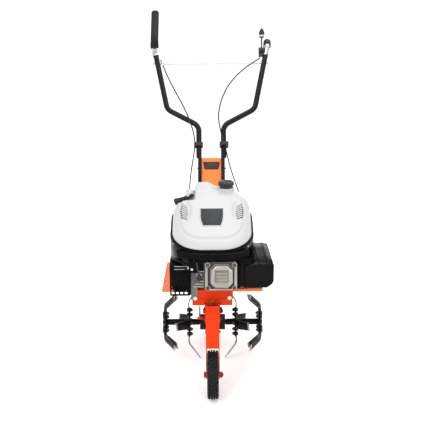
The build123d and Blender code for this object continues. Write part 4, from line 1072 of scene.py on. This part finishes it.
def blade(shape, side, x, angle, outward, bare=False):
    """Flat bar bent along the axle in one smooth turn, with ground edges and a slanting, thinned tip."""
    a = math.radians(angle)
    out = Vector((0, -math.sin(a), -math.cos(a)))
    along_axle = Vector((side, 0, 0))
    wide = out.cross(along_axle)
    lean = math.radians(38) * (1 if outward else -1)
    turn_r = 34.0
    bend_from, bend_to = 76.0 - turn_r * math.tan(abs(lean) / 2), 131.2
    path = [(17.0 + (bend_from - 17.0) * k / 5, 0.0, 0.0) for k in range(6)]
    for k in range(1, 10):
        t = abs(lean) * k / 9
        path.append(
            (
                bend_from + turn_r * math.sin(t), math.copysign(turn_r * (1 - math.cos(t)), lean),
                math.copysign(t, lean),
            )
        )
    end_r, end_s, t = path[-1]
    run = (bend_to - end_r) / math.cos(t)
    for k in range(1, 8):
        d = run * k / 7
        path.append((end_r + d * math.cos(t), end_s + d * math.sin(t), t))
    part = bmesh.new()
    rings = []
    total = len(path)
    for k, (r, s, t) in enumerate(path):
        share = k / (total - 1)
        half = 16.0 - 2.2 * smoothstep(0.45, 1.0, share)
        skew = 6.0 * smoothstep(0.82, 1.0, share)
        thick = 1.9 - 1.1 * smoothstep(0.84, 1.0, share)
        centre = AXLE + Vector((side * x, 0, 0)) + out * r + along_axle * s
        tangent = out * math.cos(t) + along_axle * math.sin(t)
        normal = along_axle * math.cos(t) - out * math.sin(t)
        section = [
            (-half, -0.5), (-half + 4.5, -thick), (half - 4.5, -thick), (half, -0.5), (half, 0.5),
            (half - 4.5, thick), (-half + 4.5, thick), (-half, 0.5),
        ]
        ring = []
        for w, n in section:
            ring.append(
                part.verts.new(centre + wide * w + normal * n - tangent * (skew * (w / half + 1) / 2))
            )
        rings.append(ring)
    for k, (ra, rb) in enumerate(zip(rings, rings[1:])):
        for i in range(8):
            j = (i + 1) % 8
            face = part.faces.new((ra[i], ra[j], rb[j], rb[i]))
            if (i in (3, 7) and k > 13) or k >= total - 2 or (bare and k > 9):
                face.material_index = 1
    part.faces.new(rings[0])
    part.faces.new(rings[-1]).material_index = 1
    bmesh.ops.recalc_face_normals(part, faces=part.faces)
    for face in part.faces:
        face.smooth = True
    shape.add(part)


INNER_X, OUTER_X = 85.0, 171.0
INNER_PHASE, OUTER_PHASE = 17.0, 69.0
for place, x, phase in (("inner", INNER_X, INNER_PHASE), ("outer", OUTER_X, OUTER_PHASE)):
    inner = place == "inner"
    shape = Build()
    for side in (-1, 1):
        for k in range(4):
            blade(shape, side, x, phase + 90 * k, inner and k % 2 == 1, inner and k == 0)
    shape.done(
        f"blades_{place}", ["black_paint", EDGE], body="tines", replaces=[f"{place}_blades"], sharp=30
    )

# ---- spring by the arm
shape = Build()
points = []
turns, low, high = 13, 211.0, 246.0
for k in range(turns * 12 + 1):
    a = 2 * math.pi * k / 12
    points.append(
        Vector((-44 + 3.1 * math.cos(a), -131 + 3.1 * math.sin(a), low + (high - low) * k / (turns * 12)))
    )
shape.sweep(points, circle(0.75, 8))
shape.tube(
    [Vector((-44, -131, 207.2)), Vector((-44, -131, 230)), Vector((-44, -131, 253.8))], 1.7, steps=12,
    up=BACK,
)
shape.bolt((-44, -131, 207.2), UP, 3.8, 2.8)
shape.done("spring_coil", "steel", replaces=["arm_spring"])


# ---- handle: badge, grips, levers, cable ends
SLOPE = math.radians(50)


def on_handle(x, s, lift=0.0):
    """Point s up the sloping handles, lifted off their plane."""
    return Vector(
        (
            x, 246 + s * math.cos(SLOPE) - lift * math.sin(SLOPE),
            310 + s * math.sin(SLOPE) + lift * math.cos(SLOPE),
        )
    )


UP_HANDLE = Vector((0, math.cos(SLOPE), math.sin(SLOPE)))

shape = Build()
plate = [(-31, 17), (-33, 14), (-28.5, -13), (-25, -17), (25, -17), (28.5, -13), (33, 14), (31, 17)]
shape.prism(plate, on_handle(0, 356, 0.1), RIGHT, UP_HANDLE, 1.6, bevel=0.6)
shape.prism(
    [(a * 0.86, b * 0.78) for a, b in plate], on_handle(0, 356, 1.4), RIGHT, UP_HANDLE, 0.8, bevel=0.3
)
shape.done("handle_badge", "grey_plastic")

for side, name in ((-1, "left"), (1, "right")):
    top = on_handle(side * 237, 905)
    end = Vector((side * 245, 946, 1008))
    run = (end - top).normalized()
    start = end - run * 97
    profile = [(0, 11.2), (0, 15.2), (0.8, 15.9), (3.4, 15.9), (4.6, 15.2), (7, 14.4)]
    for k in range(9):
        d = 9 + 8.6 * k
        profile += [(d, 14.3), (d + 1.2, 15.6), (d + 5.0, 15.6), (d + 6.2, 14.3)]
    profile += [(87.6, 14.6), (89, 15.6), (93.5, 15.6), (96, 14.2), (96.9, 11.5), (97, 4)]
    shape = Build()
    shape.lathe(profile, start, run, 56)
    side_v = run.orthogonal().normalized()
    other = run.cross(side_v)
    for k in range(9):
        for turn in range(12):
            a = 2 * math.pi * turn / 12 + (k % 2) * math.pi / 12
            out = side_v * math.cos(a) + other * math.sin(a)
            centre = start + run * (12.0 + 8.6 * k) + out * 15.2
            shape.prism(rounded(3.2, 2.6, 0.8, steps=2), centre, run, out.cross(run), 0.7, top=0.7)
    shape.done(f"grip_ribbed_{name}", "grip_rubber", replaces=[f"grip_{name}"], sharp=35)

# clutch lever: coated bar with round edges and a round end
pivot = on_handle(-(237 - 0.2 * 25), 880, 20)
corners = [pivot + Vector((0, a, b)) for a, b in ((-2.0, 9), (-3.5, 19), (-12, 44), (90, 154))]
path = smooth_path(corners, 28, 12)
last = path[-1]
heading = (path[-1] - path[-2]).normalized()
path[-1] = last - heading * 15
scales = [1.0] * len(path)
for k in range(1, 9):
    a = math.pi / 2 * k / 8.4
    path.append(last - heading * 15 + heading * 14.6 * math.sin(a))
    scales.append(math.cos(a))
oval = []
for k in range(36):
    a = 2 * math.pi * k / 36
    c, s = math.cos(a), math.sin(a)
    oval.append((15.9 * math.copysign(abs(c) ** 0.62, c), 5.9 * math.copysign(abs(s) ** 0.62, s)))
shape = Build()
shape.sweep(path, oval, up=(0, -0.7, 0.7), scales=scales)
for x in (-8.3, 8.3):
    outline = [(-6.5, 0), (-4.6, -4.6), (0, -6.5), (4.6, -4.6), (6.5, 0), (4.4, 22), (-9, 22)]
    shape.prism(outline, pivot + Vector((x - 1.7, 0, 0)), BACK, UP, 3.4, bevel=0.8, material=1)
pin = [(-9.9, 0.5), (-9.9, 4.2), (-9.0, 4.6), (-9.0, 2.9), (9.0, 2.9), (9.0, 4.6), (9.9, 4.2), (9.9, 0.5)]
shape.lathe(pin, pivot, RIGHT, 28, material=1)
shape.done(
    "clutch_lever_coated", ["lever_coat", "steel"], body="clutch_lever", replaces=["clutch_lever"], sharp=40
)

# throttle lever: stem and pointed knob with a pale ring
base = Vector((213, 812, 988))
shape = Build()
shape.lathe(
    [(-2.9, 3.2), (-2.9, 9.6), (-2.2, 10), (2.2, 10), (2.9, 9.6), (2.9, 3.2)], base, RIGHT, 36, close=True
)
shape.lathe([(-8.9, 0.5), (-8.9, 2.9), (5.9, 2.9), (5.9, 0.5)], base, RIGHT, 24)
shape.prism(
    [(-6, 6), (6, 6), (4.6, 40), (4.2, 58), (-4.2, 58), (-4.6, 40)], base + Vector((-2.7, 0, 0)), BACK, UP,
    5.4, bevel=1.1,
)
lower = [(53.2, 3.0), (53.6, 5.6), (55.4, 8.2), (58.6, 10.4), (60.4, 11.0)]
ring_part = [(60.4, 10.6), (60.8, 11.6), (63.2, 11.9), (65.8, 11.9), (67.6, 11.6), (68.0, 10.8)]
upper = [
    (68.0, 11.0), (69.4, 11.7), (73, 11.6), (78, 10.6), (83, 8.8), (88, 6.2), (91.6, 3.8), (93.4, 1.6),
    (93.8, 0.4),
]
steps = 40
for material, profile in ((0, lower), (1, ring_part), (0, upper)):
    part = bmesh.new()
    rings = []
    for z, r in profile:
        rings.append(
            [
                part.verts.new(
                    base
                    + Vector(
                        (
                            r * math.cos(2 * math.pi * k / steps),
                            0.76 * r * math.sin(2 * math.pi * k / steps), z,
                        )
                    )
                )
                for k in range(steps)
            ]
        )
    join_rings(part, rings)
    shape.take(part, material=material)
shape.done(
    "throttle_knob", ["grey_plastic", "cover_plastic"], body="throttle_lever", replaces=["throttle_lever"],
    sharp=40,
)

# cable adjuster
shape = Build()


def adjuster(start, toward):
    """Threaded cable end with its nut and sleeve."""
    start, toward = Vector(start), Vector(toward)
    axis = (toward - start).normalized()
    profile = [
        (-3, 1), (-3, 2.9), (1, 2.9), (1, 4.8), (4, 4.8), (4, 3.6), (7, 3.6), (7, 3.0), (16, 3.0),
        (16, 4.4), (17, 4.9), (24, 4.9), (25, 4.2), (29, 3.3), (31, 2.7), (31, 1),
    ]
    shape.lathe(profile, start, axis, 28)
    side = axis.orthogonal().normalized()
    shape.prism(circle(5.6, 6), start + axis * 9.5, side, axis.cross(side), 3.6, bevel=0.5)


adjuster(on_handle(-207, 838, 13), on_handle(-186, 774, 16))
shape.done("cable_adjusters", "steel")


# ---- CAD nodes: finishes, small edges
SOFT_EDGE = {
    "deck": 0.8, "front_plate": 0.7, "arm_bracket": 0.6, "fenders": 0.5, "handle_bracket": 0.7,
    "wheel_arm": 0.9, "muffler_guard": 0.5, "muffler_strip": 0.5, "gearcase_left": 1.6,
    "gearcase_right": 1.6, "cylinder_head": 0.6, "crankcase": 0.5, "tine_hubs": 0.8, "depth_bar": 0.8,
    "depth_bar_socket": 0.8, "carburettor": 1.2, "air_filter_base": 0.8, "throttle_housing": 1.2,
    "clutch_bracket": 0.7, "cable_clips": 1.0,
}
SMOOTH_ONLY = {"clutch_cable", "throttle_cable", "handle_tube_left", "handle_tube_right", "drive_belt"}
for name, obj in NODES.items():
    finish = OWN_FINISH.get(name, FINISH[SLOT_OF[name]])
    obj.data.materials.clear()
    obj.data.materials.append(finish)
    if obj.hide_render:
        continue
    if name in SMOOTH_ONLY:
        continue
    soften(obj, SOFT_EDGE.get(name, 0.35) * MM)


# ---- floor, light and camera
def stage_floor(half, height):
    """Pale plain floor that glows faintly, so that shadows on it stay light."""
    mesh = bpy.data.meshes.new("floor")
    corners = [(-half, -half, height), (half, -half, height), (half, half, height), (-half, half, height)]
    mesh.from_pydata(corners, [], [(0, 1, 2, 3)])
    obj = bpy.data.objects.new("floor", mesh)
    bpy.context.scene.collection.objects.link(obj)
    made = bpy.data.materials.new("floor")
    made.use_nodes = True
    shader = made.node_tree.nodes["Principled BSDF"]
    shader.inputs["Base Color"].default_value = (0.96, 0.96, 0.96, 1)
    shader.inputs["Roughness"].default_value = 0.9
    shader.inputs["Emission Color"].default_value = (1.0, 1.0, 1.0, 1)
    shader.inputs["Emission Strength"].default_value = 0.16
    mesh.materials.append(made)


stage_floor(90, -0.0008)

world = bpy.data.worlds.new("studio")
world.use_nodes = True
world.node_tree.nodes["Background"].inputs["Color"].default_value = (1.0, 1.0, 1.0, 1)
world.node_tree.nodes["Background"].inputs["Strength"].default_value = 1.0
bpy.context.scene.world = world


def area(name, place, target, size, power):
    light = bpy.data.lights.new(name, "AREA")
    light.shape = "RECTANGLE"
    light.size, light.size_y = size
    light.energy = power
    obj = bpy.data.objects.new(name, light)
    obj.location = place
    obj.rotation_euler = (Vector(target) - Vector(place)).to_track_quat("-Z", "Y").to_euler()
    bpy.context.scene.collection.objects.link(obj)


area("key", (-1.6, -2.4, 2.6), (0, -0.1, 0.4), (1.4, 1.4), 44)
area("fill", (2.4, -1.8, 1.6), (0, 0, 0.4), (1.6, 1.6), 18)
area("top", (0.2, 0.2, 3.0), (0, 0, 0.3), (2.0, 1.6), 30)
area("back", (0.8, 2.6, 2.0), (0, 0, 0.5), (1.8, 1.2), 22)

lens = bpy.data.cameras.new("camera")
lens.sensor_width = 36.0
lens.lens = 72.34
lens.clip_end = 200.0
camera = bpy.data.objects.new("camera", lens)
camera.location = (-0.001, -3.068, 1.450)
camera.rotation_euler = (
    Matrix.Rotation(math.radians(72), 3, "X") @ Matrix.Rotation(math.radians(-0.4), 3, "Z")
).to_euler()
bpy.context.scene.collection.objects.link(camera)
bpy.context.scene.camera = camera
bpy.context.scene.view_settings.view_transform = "Standard"
